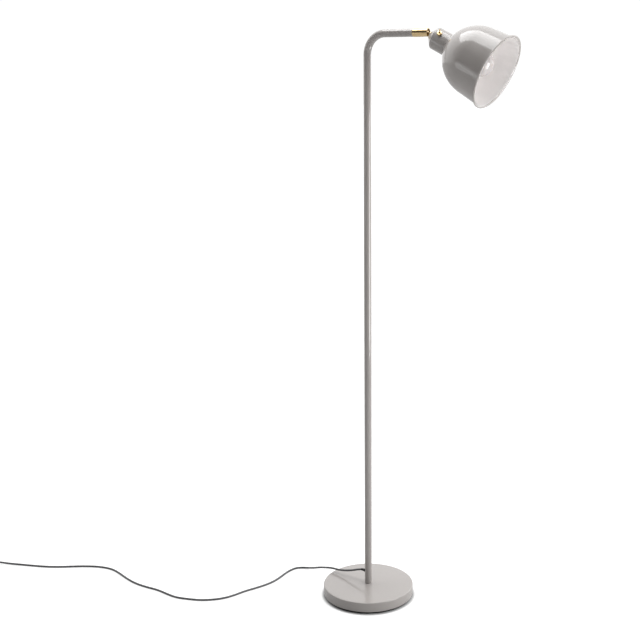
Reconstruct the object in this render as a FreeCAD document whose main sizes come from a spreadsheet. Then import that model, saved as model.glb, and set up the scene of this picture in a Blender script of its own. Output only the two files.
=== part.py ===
import FreeCAD, Part
import math
import os
import Sketcher
from types import SimpleNamespace

# Reading floor lamp. A weighted round base carries an upright tube, a bent tube turns into a level
# arm, and a slotted brass sleeve on the arm's end holds the head: a cup with a toggle switch and a
# domed shade round an opal bulb. The cord leaves the foot of the tube, away from the arm.
#
# Frame: millimetres, Z up, the floor at Z = 0 under the axis of the upright tube, the arm along X.
# The head's pieces are drawn in a frame of their own: its origin is the tilt pivot, its Z runs along
# the shade's axis towards the rim, and its Y is the pivot's axis.

Vector = FreeCAD.Vector
Rotation = FreeCAD.Rotation
Placement = FreeCAD.Placement
UP = Vector(0, 0, 1)

# ---------------------------------------------------------------------------------------------
# Driving sizes, each one word in the sheet.
SIZES = {
    # base
    "base_radius": 122.0,
    "base_top": 32.0,
    "base_edge_round": 3.0,
    "cover_wall": 1.2,
    "cover_gap": 0.4,
    "weight_thickness": 13.0,
    "weight_edge_round": 2.0,
    "boss_radius": 24.0,
    "recess_radius": 17.0,
    "recess_depth": 7.0,
    "foot_height": 6.0,
    "foot_radius": 115.0,
    "foot_width": 14.0,
    "foot_web": 2.0,
    "stud_radius": 5.0,
    "stud_hole_gap": 0.3,
    "washer_radius": 13.0,
    "washer_thickness": 1.6,
    "nut_flats": 16.0,
    "nut_thickness": 5.0,
    "stud_tail": 1.0,
    # tubes
    "tube_radius": 9.5,
    "tube_wall": 1.3,
    "arm_height": 1491.0,
    "neck_drop": 138.0,
    "bend_radius": 50.0,
    "arm_end": 130.0,
    "seam_bevel": 0.5,
    "fit_gap": 0.03,
    "insert_length": 18.0,
    "coupler_reach": 20.0,
    "coupler_bore": 6.4,
    # cord
    "cord_radius": 2.75,
    "cord_hole_height": 66.0,
    "cord_hole_radius": 3.6,
    "grommet_radius": 4.6,
    "grommet_flange": 1.2,
    "relief_length": 12.0,
    "relief_radius": 3.9,
    "relief_tip_radius": 3.1,
    "tie_thickness": 0.8,
    "tie_width": 8.0,
    "tie_gap": 0.4,
    "tie_seat": 0.05,
    "plug_width": 35.0,
    "plug_thickness": 13.6,
    "plug_neck_width": 20.0,
    "plug_length": 30.0,
    "plug_edge_round": 3.0,
    "plug_relief_length": 24.0,
    "plug_relief_radius": 4.6,
    "pin_radius": 2.0,
    "pin_length": 19.0,
    "pin_spacing": 18.6,
    # swivel and tilt joint
    "joint_gap": 0.3,
    "running_gap": 0.05,
    "spigot_radius": 6.0,
    "spigot_bore": 4.0,
    "spigot_plug": 16.0,
    "swivel_nut_thickness": 5.0,
    "swivel_nut_radius": 8.2,
    "sleeve_radius": 10.0,
    "sleeve_wall": 1.4,
    "sleeve_back": 5.0,
    "sleeve_bevel": 0.4,
    "pivot_past_arm": 32.5,
    "sleeve_past_pivot": 8.2,
    "slot_back": 5.3,
    "pin_axle_radius": 2.5,
    "pin_axle_recess": 0.4,
    "tongue_thickness": 6.0,
    "tongue_neck": 8.0,
    "slot_gap": 0.4,
    "eye_radius": 7.4,
    "friction_washer_radius": 5.5,
    "collar_radius": 9.7,
    "collar_thickness": 2.2,
    "stem_radius": 5.0,
    "stem_bore": 3.0,
    "stem_grip": 6.5,
    # head
    "shade_drop": 26.0,
    "cup_rear": 17.5,
    "cup_rear_radius": 12.5,
    "cup_radius": 26.8,
    "cup_wall": 1.2,
    "cup_corner_round": 3.0,
    "cup_rear_round": 2.0,
    "stem_nut_flats": 15.0,
    "stem_nut_thickness": 5.0,
    "shade_radius": 88.3,
    "dome_radius": 104.0,
    "dome_end": 168.0,
    "shade_end": 212.2,
    "shade_wall": 1.0,
    "lip_roll": 1.8,
    "holder_neck_radius": 9.0,
    "holder_neck": 6.0,
    "holder_back_radius": 17.0,
    "holder_back": 17.0,
    "holder_flange_radius": 24.0,
    "holder_flange": 3.0,
    "holder_thread_radius": 20.2,
    "holder_thread": 18.0,
    "holder_front_radius": 17.6,
    "holder_bore": 14.4,
    "holder_floor": 13.0,
    "shade_hole_gap": 0.3,
    "shade_ring_radius": 26.0,
    "shade_ring_flange": 2.0,
    "shade_ring_body": 23.6,
    "shade_ring_height": 8.0,
    "shell_wall": 0.45,
    "shell_length": 22.0,
    "contact_radius": 5.0,
    "contact_thickness": 1.2,
    # bulb
    "bulb_radius": 30.0,
    "bulb_length": 107.0,
    "bulb_wall": 0.8,
    "bulb_neck": 6.0,
    "bulb_cap_radius": 13.2,
    "bulb_cap_length": 24.0,
    "bulb_tip_radius": 4.5,
    "bulb_tip_cone": 3.6,
    # switch
    "switch_place": 46.0,
    "switch_angle": 40.0,
    "bushing_radius": 3.2,
    "bushing_bore": 2.4,
    "bushing_top": 31.6,
    "switch_body_long": 13.0,
    "switch_body_wide": 8.0,
    "switch_body_top": 24.4,
    "switch_body_deep": 9.5,
    "dress_nut_radius": 6.2,
    "dress_nut_height": 4.3,
    "dress_nut_round": 2.0,
    "lever_pivot": 28.0,
    "lever_ball": 2.0,
    "lever_root": 1.1,
    "lever_tip": 1.5,
    "lever_length": 13.0,
    "lever_tilt": 13.0,
}

# The cord's route on the floor and over the base's edge, from the strain relief to the coil, as
# (X, Y, height of the cord's axis). Chosen by hand from the photograph.
CORD_ROUTE = [
    (-21.5, 0.0, 66.0),
    (-34.0, 0.0, 66.0),
    (-53.0, 1.5, 59.5),
    (-76.0, 3.5, 50.5),
    (-100.0, 6.0, 43.0),
    (-125.0, 9.0, 41.0),
    (-149.0, 13.5, 34.5),
    (-173.0, 19.5, 24.0),
    (-197.0, 26.0, 12.5),
    (-220.0, 31.5, 4.6),
    (-241.0, 30.0, 2.75),
    (-257.0, 19.0, 2.75),
    (-264.0, 0.5, 2.75),
    (-264.5, -24.0, 2.75),
    (-262.0, -52.0, 2.75),
    (-263.0, -84.0, 2.75),
    (-271.0, -114.0, 2.75),
    (-284.0, -144.0, 2.75),
    (-297.0, -172.0, 2.75),
    (-306.0, -204.0, 2.75),
    (-320.0, -233.0, 2.75),
    (-343.0, -257.0, 2.75),
    (-370.0, -275.0, 2.75),
    (-402.0, -286.0, 2.75),
    (-434.0, -295.0, 2.75),
    (-470.0, -292.0, 2.75),
    (-508.0, -286.5, 2.75),
    (-548.0, -290.0, 2.75),
    (-590.0, -288.5, 2.75),
    (-632.0, -278.0, 2.75),
    (-672.0, -264.0, 2.75),
    (-708.0, -255.0, 2.75),
    (-744.0, -260.0, 2.75),
    (-779.0, -275.0, 2.75),
    (-812.0, -296.0, 2.75),
    (-845.0, -320.0, 2.75),
    (-882.0, -341.0, 2.75),
    (-922.0, -356.5, 2.75),
    (-960.0, -370.0, 2.75),
    (-992.0, -383.5, 3.6),
    (-1020.0, -397.5, 7.0),
    (-1043.0, -410.0, 9.65),
    (-1062.0, -421.0, 9.65),
]
ARC_SHARE = 0.45  # of the shorter run beside a corner that its arc takes

# The put-away coil: a flat spiral in on the upper layer, down one layer and a spiral out, whose
# last turn lies outside the others on the floor.
COIL_RADIUS = 34.0
COIL_STEP = 6.0
COIL_TURNS_IN = 1.75
COIL_TURNS_OUT = 2.5
COIL_DROP_TURNS = 0.5
COIL_LOW = 3.65  # height of the lower layer's axis, which leaves room for the tie below


class Size:
    """A length that knows its number and the formula that the sheet's cells give for it."""

    def __init__(self, number, formula):
        self.number = float(number)
        self.formula = str(formula)

    @staticmethod
    def of(value):
        return value if isinstance(value, Size) else Size(value, value)

    def joined(self, sign, other, number):
        return Size(number, "({} {} {})".format(self.formula, sign, Size.of(other).formula))

    def __add__(self, other):
        return self.joined("+", other, self.number + Size.of(other).number)

    def __sub__(self, other):
        return self.joined("-", other, self.number - Size.of(other).number)

    def __mul__(self, other):
        return self.joined("*", other, self.number * Size.of(other).number)

    def __truediv__(self, other):
        return self.joined("/", other, self.number / Size.of(other).number)

    def __neg__(self):
        return Size(0, 0) - self

    def root(self):
        return Size(math.sqrt(self.number), "sqrt({})".format(self.formula))


doc = FreeCAD.newDocument("reading_floor_lamp")
sheet = doc.addObject("Spreadsheet::Sheet", "dims")
for row, (word, size) in enumerate(SIZES.items(), start=1):
    sheet.set("A{}".format(row), word)
    sheet.set("B{}".format(row), str(size))
    sheet.setAlias("B{}".format(row), word)
doc.recompute()
S = SimpleNamespace(**{word: Size(size, "dims." + word) for word, size in SIZES.items()})
NODES = []  # (node name, document object) in the order of building


# ---------------------------------------------------------------------------------------------
# Drawing helpers.
def new_body(name, place=None):
    """An empty body that becomes the node called name, at its place."""
    body = doc.addObject("PartDesign::Body", name)
    body.Label = name
    body.Placement = place or Placement()
    NODES.append((name, body))
    return body


def new_sketch(body, role, offset=None):
    """A sketch on one of the body's own planes, moved by offset when one is given."""
    sketch = body.newObject("Sketcher::SketchObject", body.Label + "_sketch")
    plane = next(p for p in body.Origin.OriginFeatures if p.Role == role)
    sketch.AttachmentSupport = [(plane, "")]
    sketch.MapMode = "FlatFace"
    if offset:
        sketch.AttachmentOffset = offset
    return sketch


def bind(sketch, kind, geometry, end, size):
    """Hold one coordinate of a point at a size from the sheet."""
    if not isinstance(size, Size) and size == 0:
        axis = -2 if kind == "DistanceX" else -1
        sketch.addConstraint(Sketcher.Constraint("PointOnObject", geometry, end, axis))
        return
    size = Size.of(size)
    number = sketch.addConstraint(Sketcher.Constraint(kind, -1, 1, geometry, end, size.number))
    sketch.setExpression("Constraints[{}]".format(number), size.formula)


def plain(value):
    return Size.of(value).number


def outline(sketch, corners):
    """A closed outline through corners (x, y). A corner (x, y, cx, cy, held) is reached by an arc
    of under half a turn about (cx, cy), and only the coordinate named by held is fixed."""
    points = [Vector(plain(c[0]), plain(c[1]), 0) for c in corners]
    starts, ends = [], []
    for corner, here, before in zip(corners, points, [points[-1]] + points[:-1]):
        if len(corner) == 2:
            side = sketch.addGeometry(Part.LineSegment(before, here), False)
            starts.append((side, 1))
            ends.append((side, 2))
            continue
        centre = Vector(plain(corner[2]), plain(corner[3]), 0)
        first, last = before - centre, here - centre
        turns_left = first.cross(last).z > 0
        if not turns_left:
            first, last = last, first
        circle = Part.Circle(centre, UP, first.Length)
        angles = [math.atan2(v.y, v.x) for v in (first, last)]
        side = sketch.addGeometry(Part.ArcOfCircle(circle, angles[0], angles[1]), False)
        starts.append((side, 1 if turns_left else 2))
        ends.append((side, 2 if turns_left else 1))
        bind(sketch, "DistanceX", side, 3, corner[2])
        bind(sketch, "DistanceY", side, 3, corner[3])
    for i, (side, end) in enumerate(ends):
        after = starts[(i + 1) % len(starts)]
        sketch.addConstraint(Sketcher.Constraint("Coincident", side, end, after[0], after[1]))
        held = corners[i][4] if len(corners[i]) > 2 else "xy"
        if "x" in held:
            bind(sketch, "DistanceX", side, end, corners[i][0])
        if "y" in held:
            bind(sketch, "DistanceY", side, end, corners[i][1])


def rectangle(sketch, low_x, high_x, low_y, high_y):
    outline(sketch, [(low_x, low_y), (high_x, low_y), (high_x, high_y), (low_x, high_y)])


def circle(sketch, x, y, radius):
    """A circle at (x, y)."""
    shape = Part.Circle(Vector(plain(x), plain(y), 0), UP, radius.number)
    side = sketch.addGeometry(shape, False)
    bind(sketch, "DistanceX", side, 3, x)
    bind(sketch, "DistanceY", side, 3, y)
    number = sketch.addConstraint(Sketcher.Constraint("Radius", side, radius.number))
    sketch.setExpression("Constraints[{}]".format(number), radius.formula)


def hexagon(sketch, flats):
    """A hexagon about the origin, with two of its corners on the X axis."""
    reach = flats / Size(3, 3).root()
    half = flats / 2
    far, near = reach, reach / 2
    outline(sketch, [(far, 0), (near, half), (-near, half), (-far, 0), (-near, -half), (near, -half)])


def revolve(body, corners):
    """Turn an outline, given as (radius, height), once round the body's Z axis."""
    sketch = new_sketch(body, "XZ_Plane")
    outline(sketch, corners)
    turned = body.newObject("PartDesign::Revolution", body.Label + "_turned")
    turned.Profile = (sketch, [""])
    turned.ReferenceAxis = (sketch, ["V_Axis"])
    turned.Angle = 360
    body.Tip = turned
    return turned


def extrude(body, kind, sketch, length, symmetric=False, backwards=False):
    """Pad or pocket a sketch by a size, and stop if it changed nothing."""
    doc.recompute()
    before = body.Shape.Volume if body.Tip else 0.0
    feature = body.newObject("PartDesign::" + kind, body.Label + "_" + kind.lower())
    feature.Profile = (sketch, [""])
    feature.Type = "Length"
    feature.SideType = "Symmetric" if symmetric else "One side"
    feature.Reversed = backwards
    feature.Length = length.number
    feature.setExpression("Length", length.formula)
    body.Tip = feature
    doc.recompute()
    change = body.Shape.Volume - before
    if (change <= 0) == (kind == "Pad"):
        raise RuntimeError("{} changed nothing on {}".format(kind, body.Label))
    return feature


def dress(body, kind, size, chosen):
    """Fillet or chamfer the edges of the body that chosen picks."""
    doc.recompute()
    base = body.Tip
    names = ["Edge{}".format(i) for i, e in enumerate(base.Shape.Edges, start=1) if chosen(e)]
    if not names:
        raise RuntimeError("no edge to dress on {}".format(body.Label))
    feature = body.newObject("PartDesign::" + kind, body.Label + "_" + kind.lower())
    feature.Base = (base, names)
    word = "Radius" if kind == "Fillet" else "Size"
    setattr(feature, word, size.number)
    feature.setExpression(word, size.formula)
    body.Tip = feature
    return feature


def ring_edge(radius, height):
    """Picks the circular edge of that radius at that height about the body's own Z axis."""

    def chosen(edge):
        curve = edge.Curve
        if not isinstance(curve, Part.Circle):
            return False
        return abs(curve.Radius - plain(radius)) < 0.01 and abs(curve.Center.z - plain(height)) < 0.01

    return chosen


def disc(name, inner, outer, low, high, place=None):
    """A flat ring from the inner to the outer radius."""
    body = new_body(name, place)
    revolve(body, [(inner, low), (outer, low), (outer, high), (inner, high)])
    return body


def hexagon_nut(name, flats, bore, low, thickness, place=None):
    """A hexagon nut whose lower face lies at low."""
    body = new_body(name, place)
    sketch = new_sketch(body, "XY_Plane", Placement(Vector(0, 0, plain(low)), Rotation()))
    sketch.setExpression("AttachmentOffset.Base.z", Size.of(low).formula)
    hexagon(sketch, flats)
    circle(sketch, 0, 0, bore)
    extrude(body, "Pad", sketch, thickness)
    return body


# ---------------------------------------------------------------------------------------------
# Places of the sub-assemblies.
SEAM = S.arm_height - S.neck_drop
PIVOT_REACH = S.arm_end + S.pivot_past_arm
ALONG_ARM = Placement(Vector(0, 0, S.arm_height.number), Rotation(Vector(0, 1, 0), 90))
PIVOT = Vector(PIVOT_REACH.number, 0, S.arm_height.number)
HEAD = Placement(PIVOT, Rotation(Vector(0, 1, 0), 90 + S.shade_drop.number))
SWITCH = HEAD.multiply(
    Placement(
        Vector(0, 0, S.switch_place.number),
        Rotation(UP, -90 - S.switch_angle.number).multiply(Rotation(Vector(0, 1, 0), 90)),
    )
)
LEVER = SWITCH.multiply(
    Placement(Vector(0, 0, S.lever_pivot.number), Rotation(Vector(1, 0, 0), S.lever_tilt.number))
)


# ---------------------------------------------------------------------------------------------
# Base.
def base_cover():
    """Pressed steel cover, open below, with a rounded top edge and a hole for the stud."""
    body = new_body("base_cover")
    top, wall, rounded = S.base_top, S.cover_wall, S.base_edge_round
    inside = S.base_radius - wall
    hub = S.base_radius - rounded
    turn = top - rounded
    hole = S.stud_radius + S.stud_hole_gap
    revolve(
        body,
        [
            (hole, top),
            (hole, top - wall),
            (hub, top - wall),
            (inside, turn, hub, turn, "y"),
            (inside, S.foot_height),
            (S.base_radius, S.foot_height),
            (S.base_radius, turn),
            (hub, top, hub, turn, "x"),
        ],
    )


def base_weight():
    """Cast iron disc with a boss up to the cover and a recess for the nut below."""
    body = new_body("base_weight")
    low = S.foot_height
    deck = low + S.weight_thickness
    rim = S.base_radius - S.cover_wall - S.cover_gap
    hole = S.stud_radius + S.stud_hole_gap
    revolve(
        body,
        [
            (S.recess_radius, low),
            (rim, low),
            (rim, deck),
            (S.boss_radius, deck),
            (S.boss_radius, S.base_top - S.cover_wall),
            (hole, S.base_top - S.cover_wall),
            (hole, low + S.recess_depth),
            (S.recess_radius, low + S.recess_depth),
        ],
    )
    dress(body, "Fillet", S.weight_edge_round, ring_edge(S.boss_radius, deck))
    dress(body, "Fillet", S.weight_edge_round, ring_edge(rim, deck))


def base_fixings():
    """Rubber foot pad, washer, nut, stud and the threaded plug in the tube's foot."""
    pad = new_body("foot_pad")
    inner = S.foot_radius - S.foot_width
    revolve(
        pad,
        [
            (0, 0),
            (S.foot_radius, 0),
            (S.foot_radius, S.foot_height),
            (inner, S.foot_height),
            (inner, S.foot_web),
            (0, S.foot_web),
        ],
    )
    ceiling = S.foot_height + S.recess_depth
    bore = S.stud_radius + S.fit_gap
    disc("base_washer", bore, S.washer_radius, ceiling - S.washer_thickness, ceiling)
    nut_low = ceiling - S.washer_thickness - S.nut_thickness
    hexagon_nut("base_nut", S.nut_flats, bore, nut_low, S.nut_thickness)
    stud = new_body("base_stud")
    bottom = nut_low - S.stud_tail
    height = S.base_top + S.insert_length - bottom
    sketch = new_sketch(stud, "XY_Plane", Placement(Vector(0, 0, bottom.number), Rotation()))
    sketch.setExpression("AttachmentOffset.Base.z", bottom.formula)
    circle(sketch, 0, 0, S.stud_radius)
    extrude(stud, "Pad", sketch, height)
    plug = S.tube_radius - S.tube_wall - S.fit_gap
    disc("foot_insert", bore, plug, S.base_top, S.base_top + S.insert_length)


# ---------------------------------------------------------------------------------------------
# Tubes.
def lower_tube():
    """Upright tube with a bevel at the seam and the cord's hole at its foot."""
    body = new_body("lower_tube")
    inner = S.tube_radius - S.tube_wall
    revolve(
        body,
        [
            (inner, S.base_top),
            (S.tube_radius, S.base_top),
            (S.tube_radius, SEAM - S.seam_bevel),
            (S.tube_radius - S.seam_bevel, SEAM),
            (inner, SEAM),
        ],
    )
    sketch = new_sketch(body, "YZ_Plane")
    circle(sketch, 0, S.cord_hole_height, S.cord_hole_radius)
    extrude(body, "Pocket", sketch, S.tube_radius * 2, backwards=False)


def follow_neck(name, outer, inner, low, end):
    """A round bar or tube that rises from low, follows the bend and runs along the arm to end."""
    body = new_body(name)
    path = new_sketch(body, "XZ_Plane")
    turn_low = S.arm_height - S.bend_radius
    corners = [
        (Size(0, 0), low),
        (Size(0, 0), turn_low),
        (S.bend_radius, S.arm_height),
        (end, S.arm_height),
    ]
    points = [Vector(plain(x), plain(y), 0) for x, y in corners]
    centre = Vector(S.bend_radius.number, turn_low.number, 0)
    rise = path.addGeometry(Part.LineSegment(points[0], points[1]), False)
    round_ = Part.ArcOfCircle(Part.Circle(centre, UP, S.bend_radius.number), math.pi / 2, math.pi)
    bend = path.addGeometry(round_, False)
    arm = path.addGeometry(Part.LineSegment(points[2], points[3]), False)
    path.addConstraint(Sketcher.Constraint("Coincident", rise, 2, bend, 2))
    path.addConstraint(Sketcher.Constraint("Coincident", bend, 1, arm, 1))
    bind(path, "DistanceX", bend, 3, S.bend_radius)
    bind(path, "DistanceY", bend, 3, turn_low)
    for side, end_point, (x, y) in ((rise, 1, corners[0]), (arm, 2, corners[3])):
        bind(path, "DistanceX", side, end_point, 0 if x.number == 0 else x)
        bind(path, "DistanceY", side, end_point, y)
    path.addConstraint(Sketcher.Constraint("PointOnObject", rise, 2, -2))
    bind(path, "DistanceY", bend, 2, turn_low)
    bind(path, "DistanceX", bend, 1, S.bend_radius)
    ring = new_sketch(body, "XY_Plane", Placement(Vector(0, 0, plain(low)), Rotation()))
    ring.setExpression("AttachmentOffset.Base.z", Size.of(low).formula)
    circle(ring, 0, 0, outer)
    if inner:
        circle(ring, 0, 0, inner)
    pipe = body.newObject("PartDesign::AdditivePipe", name + "_pipe")
    pipe.Profile = (ring, [""])
    pipe.Spine = (path, ["Edge1", "Edge2", "Edge3"])
    body.Tip = pipe
    return body


def tubes():
    """Bent tube, the sleeve that joins the two tubes and the cable inside them."""
    inner = S.tube_radius - S.tube_wall
    follow_neck("bent_tube", S.tube_radius, inner, SEAM, S.arm_end)
    low = SEAM - S.coupler_reach
    high = SEAM + S.coupler_reach
    disc("tube_coupler", S.coupler_bore, inner - S.fit_gap, low, high)
    cable_low = S.base_top + S.insert_length
    follow_neck("inner_cable", S.cord_radius, None, cable_low, spigot_end())


def spigot_end():
    """Where the swivel spigot ends, along the arm."""
    nut_start = S.arm_end + S.joint_gap + S.sleeve_back + S.joint_gap
    return nut_start + S.swivel_nut_thickness + S.stud_tail


def cord_grommet():
    """Grommet in the tube's side with a short tapered strain relief, turned about its own axis."""
    facing = Rotation(Vector(0, 1, 0), -90)
    body = new_body("cord_grommet", Placement(Vector(0, 0, S.cord_hole_height.number), facing))
    chord = S.grommet_radius * S.grommet_radius
    bore = S.tube_radius - S.tube_wall
    inside = (bore * bore - chord).root() - S.running_gap
    outside = S.tube_radius + S.fit_gap
    shank = S.cord_hole_radius - S.fit_gap
    tip = S.tube_radius + S.relief_length
    revolve(
        body,
        [
            (0, inside - S.grommet_flange),
            (S.grommet_radius, inside - S.grommet_flange),
            (S.grommet_radius, inside),
            (shank, inside),
            (shank, outside),
            (S.grommet_radius, outside),
            (S.grommet_radius, outside + S.grommet_flange),
            (S.relief_radius, outside + S.grommet_flange),
            (S.relief_tip_radius, tip),
            (0, tip),
        ],
    )


# ---------------------------------------------------------------------------------------------
# Swivel: the sleeve turns on a spigot in the arm's end.
def swivel():
    """Spigot and nut on the arm, and the brass sleeve with its slot, cross pin and washers."""
    start = S.arm_end
    bore = S.tube_radius - S.tube_wall - S.fit_gap
    spigot = new_body("swivel_spigot", ALONG_ARM)
    revolve(
        spigot,
        [
            (S.spigot_bore, start - S.spigot_plug),
            (bore, start - S.spigot_plug),
            (bore, start),
            (S.spigot_radius, start),
            (S.spigot_radius, spigot_end()),
            (S.spigot_bore, spigot_end()),
        ],
    )
    back = start + S.joint_gap
    cavity = back + S.sleeve_back
    nut = cavity + S.joint_gap
    thread = S.spigot_radius + S.fit_gap
    disc("swivel_nut", thread, S.swivel_nut_radius, nut, nut + S.swivel_nut_thickness, ALONG_ARM)
    joint_sleeve(back, cavity)
    cross_pin()


def joint_sleeve(back, cavity):
    """Brass sleeve: a bored wall runs on the spigot, and the front is open, slotted below."""
    body = new_body("joint_sleeve", ALONG_ARM)
    front = PIVOT_REACH + S.sleeve_past_pivot
    inner = S.sleeve_radius - S.sleeve_wall
    bevel = S.sleeve_bevel
    revolve(
        body,
        [
            (S.spigot_radius + S.running_gap, back),
            (S.sleeve_radius - bevel, back),
            (S.sleeve_radius, back + bevel),
            (S.sleeve_radius, front - bevel),
            (S.sleeve_radius - bevel, front),
            (inner, front),
            (inner, cavity),
            (S.spigot_radius + S.running_gap, cavity),
        ],
    )
    half = S.tongue_thickness / 2 + S.slot_gap
    slot = new_sketch(body, "YZ_Plane")
    rectangle(slot, -half, half, PIVOT_REACH - S.slot_back, front + bevel)
    extrude(body, "Pocket", slot, S.sleeve_radius * 2, backwards=True)
    hole = new_sketch(body, "XZ_Plane")
    circle(hole, 0, PIVOT_REACH, S.pin_axle_radius + S.running_gap)
    extrude(body, "Pocket", hole, S.sleeve_radius * 3, symmetric=True)


def cross_pin():
    """Pivot pin across the sleeve, and a friction washer each side of the tongue."""
    across = Placement(PIVOT, Rotation(Vector(1, 0, 0), 90))
    reach = S.sleeve_radius - S.pin_axle_recess
    disc("pivot_pin", 0, S.pin_axle_radius, -reach, reach, across)
    low = S.tongue_thickness / 2 + S.running_gap * 2
    inner = S.sleeve_radius - S.sleeve_wall
    chord = S.friction_washer_radius * S.friction_washer_radius
    high = (inner * inner - chord).root() - S.running_gap * 2
    body = new_body("pivot_washers", across)
    sketch = new_sketch(body, "XY_Plane", Placement(Vector(0, 0, low.number), Rotation()))
    sketch.setExpression("AttachmentOffset.Base.z", low.formula)
    circle(sketch, 0, 0, S.friction_washer_radius)
    circle(sketch, 0, 0, S.pin_axle_radius + S.running_gap)
    extrude(body, "Pad", sketch, high - low)
    near = body.Tip
    mirrored = body.newObject("PartDesign::Mirrored", "pivot_washers_mirrored")
    mirrored.Originals = [near]
    plane = next(p for p in body.Origin.OriginFeatures if p.Role == "XY_Plane")
    mirrored.MirrorPlane = (plane, [""])
    body.Tip = mirrored


# ---------------------------------------------------------------------------------------------
# Head.
def crown():
    """Distance from the pivot to the flat crown of the shade, where the cup's open end rests."""
    offset = S.cup_radius - S.shade_radius + S.dome_radius
    return S.dome_end - (S.dome_radius * S.dome_radius - offset * offset).root()


def stem_end():
    """Distance from the pivot to the stem's end, screwed into the lampholder's neck."""
    return crown() - S.holder_back - S.holder_neck + S.stem_grip


def joint_tongue():
    """Brass tongue: an eye on the pivot pin, a flat neck, a round collar and a hollow stem."""
    body = new_body("joint_tongue", HEAD)
    collar_low = S.cup_rear - S.collar_thickness
    wire_start = S.cup_rear + S.stem_nut_thickness
    revolve(
        body,
        [
            (0, collar_low),
            (S.collar_radius, collar_low),
            (S.collar_radius, S.cup_rear),
            (S.stem_radius, S.cup_rear),
            (S.stem_radius, stem_end()),
            (S.stem_bore, stem_end()),
            (S.stem_bore, wire_start),
            (0, wire_start),
        ],
    )
    doc.recompute()
    neck = new_sketch(body, "XZ_Plane")
    rectangle(neck, -S.tongue_neck / 2, S.tongue_neck / 2, 0, collar_low)
    extrude(body, "Pad", neck, S.tongue_thickness, symmetric=True)
    eye = new_sketch(body, "XZ_Plane")
    circle(eye, 0, 0, S.eye_radius)
    extrude(body, "Pad", eye, S.tongue_thickness, symmetric=True)
    hole = new_sketch(body, "XZ_Plane")
    circle(hole, 0, 0, S.pin_axle_radius + S.running_gap)
    extrude(body, "Pocket", hole, S.tongue_thickness * 2, symmetric=True)


def shade_cup():
    """Spun cup behind the shade: flat rear, 45 degree shoulder, straight side, switch hole."""
    body = new_body("shade_cup", HEAD)
    wall, rear, shoulder = S.cup_wall, S.cup_rear, S.cup_radius - S.cup_rear_radius
    hole = S.stem_radius + S.running_gap
    slant = wall * (Size(2, 2).root() - 1)
    revolve(
        body,
        [
            (hole, rear),
            (S.cup_rear_radius, rear),
            (S.cup_radius, rear + shoulder),
            (S.cup_radius, crown()),
            (S.cup_radius - wall, crown()),
            (S.cup_radius - wall, rear + shoulder + slant),
            (S.cup_rear_radius - slant, rear + wall),
            (hole, rear + wall),
        ],
    )
    dress(body, "Fillet", S.cup_corner_round, ring_edge(S.cup_radius, rear + shoulder))
    dress(body, "Fillet", S.cup_rear_round, ring_edge(S.cup_rear_radius, rear))
    doc.recompute()
    facing = Rotation(Vector(0, 1, 0), -S.switch_angle.number)
    sketch = new_sketch(body, "XZ_Plane", Placement(Vector(0, 0, 0), facing))
    circle(sketch, 0, S.switch_place, S.bushing_radius + S.running_gap)
    extrude(body, "Pocket", sketch, S.cup_radius * 2, backwards=True)
    nut_bore = S.stem_radius + S.fit_gap
    low = rear + wall
    hexagon_nut("stem_nut", S.stem_nut_flats, nut_bore, low, S.stem_nut_thickness, HEAD)


def shade():
    """Spun shade: flat crown with the holder's hole, one dome arc, straight skirt, rolled lip."""
    body = new_body("shade", HEAD)
    wall, radius, low = S.shade_wall, S.shade_radius, crown()
    hole = S.holder_thread_radius + S.shade_hole_gap
    hub = radius - S.dome_radius
    inner_rise = S.dome_end - low - wall
    inner_arc = S.dome_radius - wall
    inner_start = hub + (inner_arc * inner_arc - inner_rise * inner_rise).root()
    roll, end = S.lip_roll, S.shade_end
    revolve(
        body,
        [
            (hole, low + wall),
            (hole, low),
            (S.cup_radius, low),
            (radius, S.dome_end, hub, S.dome_end, "y"),
            (radius, end - roll * 2),
            (radius + roll, end - roll, radius, end - roll, "y"),
            (radius, end, radius, end - roll, "x"),
            (radius - wall, end - wall, radius, end - wall, "y"),
            (radius - wall, S.dome_end),
            (inner_start, low + wall, hub, S.dome_end, "y"),
        ],
    )


def lampholder():
    """Holder body with its metal thread shell, contact and the ring that clamps the shade."""
    body = new_body("lampholder", HEAD)
    flange_top = crown()
    flange_low = flange_top - S.holder_flange
    back_low = flange_top - S.holder_back
    neck_low = back_low - S.holder_neck
    thread_top = flange_top + S.shade_wall + S.holder_thread
    floor = flange_top + S.holder_floor
    front = floor + S.contact_thickness + S.shell_length
    revolve(
        body,
        [
            (0, stem_end() + S.joint_gap),
            (S.stem_radius + S.fit_gap, stem_end() + S.joint_gap),
            (S.stem_radius + S.fit_gap, neck_low),
            (S.holder_neck_radius, neck_low),
            (S.holder_neck_radius, back_low),
            (S.holder_back_radius, back_low),
            (S.holder_back_radius, flange_low),
            (S.holder_flange_radius, flange_low),
            (S.holder_flange_radius, flange_top),
            (S.holder_thread_radius, flange_top),
            (S.holder_thread_radius, thread_top),
            (S.holder_front_radius, thread_top),
            (S.holder_front_radius, front),
            (S.holder_bore, front),
            (S.holder_bore, floor),
            (0, floor),
        ],
    )
    outer = S.holder_bore - S.fit_gap
    disc("centre_contact", 0, S.contact_radius, floor, floor + S.contact_thickness, HEAD)
    disc("screw_shell", outer - S.shell_wall, outer, floor + S.contact_thickness, front, HEAD)
    ring = new_body("shade_ring", HEAD)
    low = flange_top + S.shade_wall
    high = low + S.shade_ring_height
    thread = S.holder_thread_radius + S.fit_gap
    revolve(
        ring,
        [
            (thread, low),
            (S.shade_ring_radius, low),
            (S.shade_ring_radius, low + S.shade_ring_flange),
            (S.shade_ring_body, low + S.shade_ring_flange),
            (S.shade_ring_body, high),
            (thread, high),
        ],
    )


def bulb_tip():
    """Distance from the pivot to the bulb's contact, which touches the holder's contact."""
    return crown() + S.holder_floor + S.contact_thickness + S.running_gap


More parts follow.
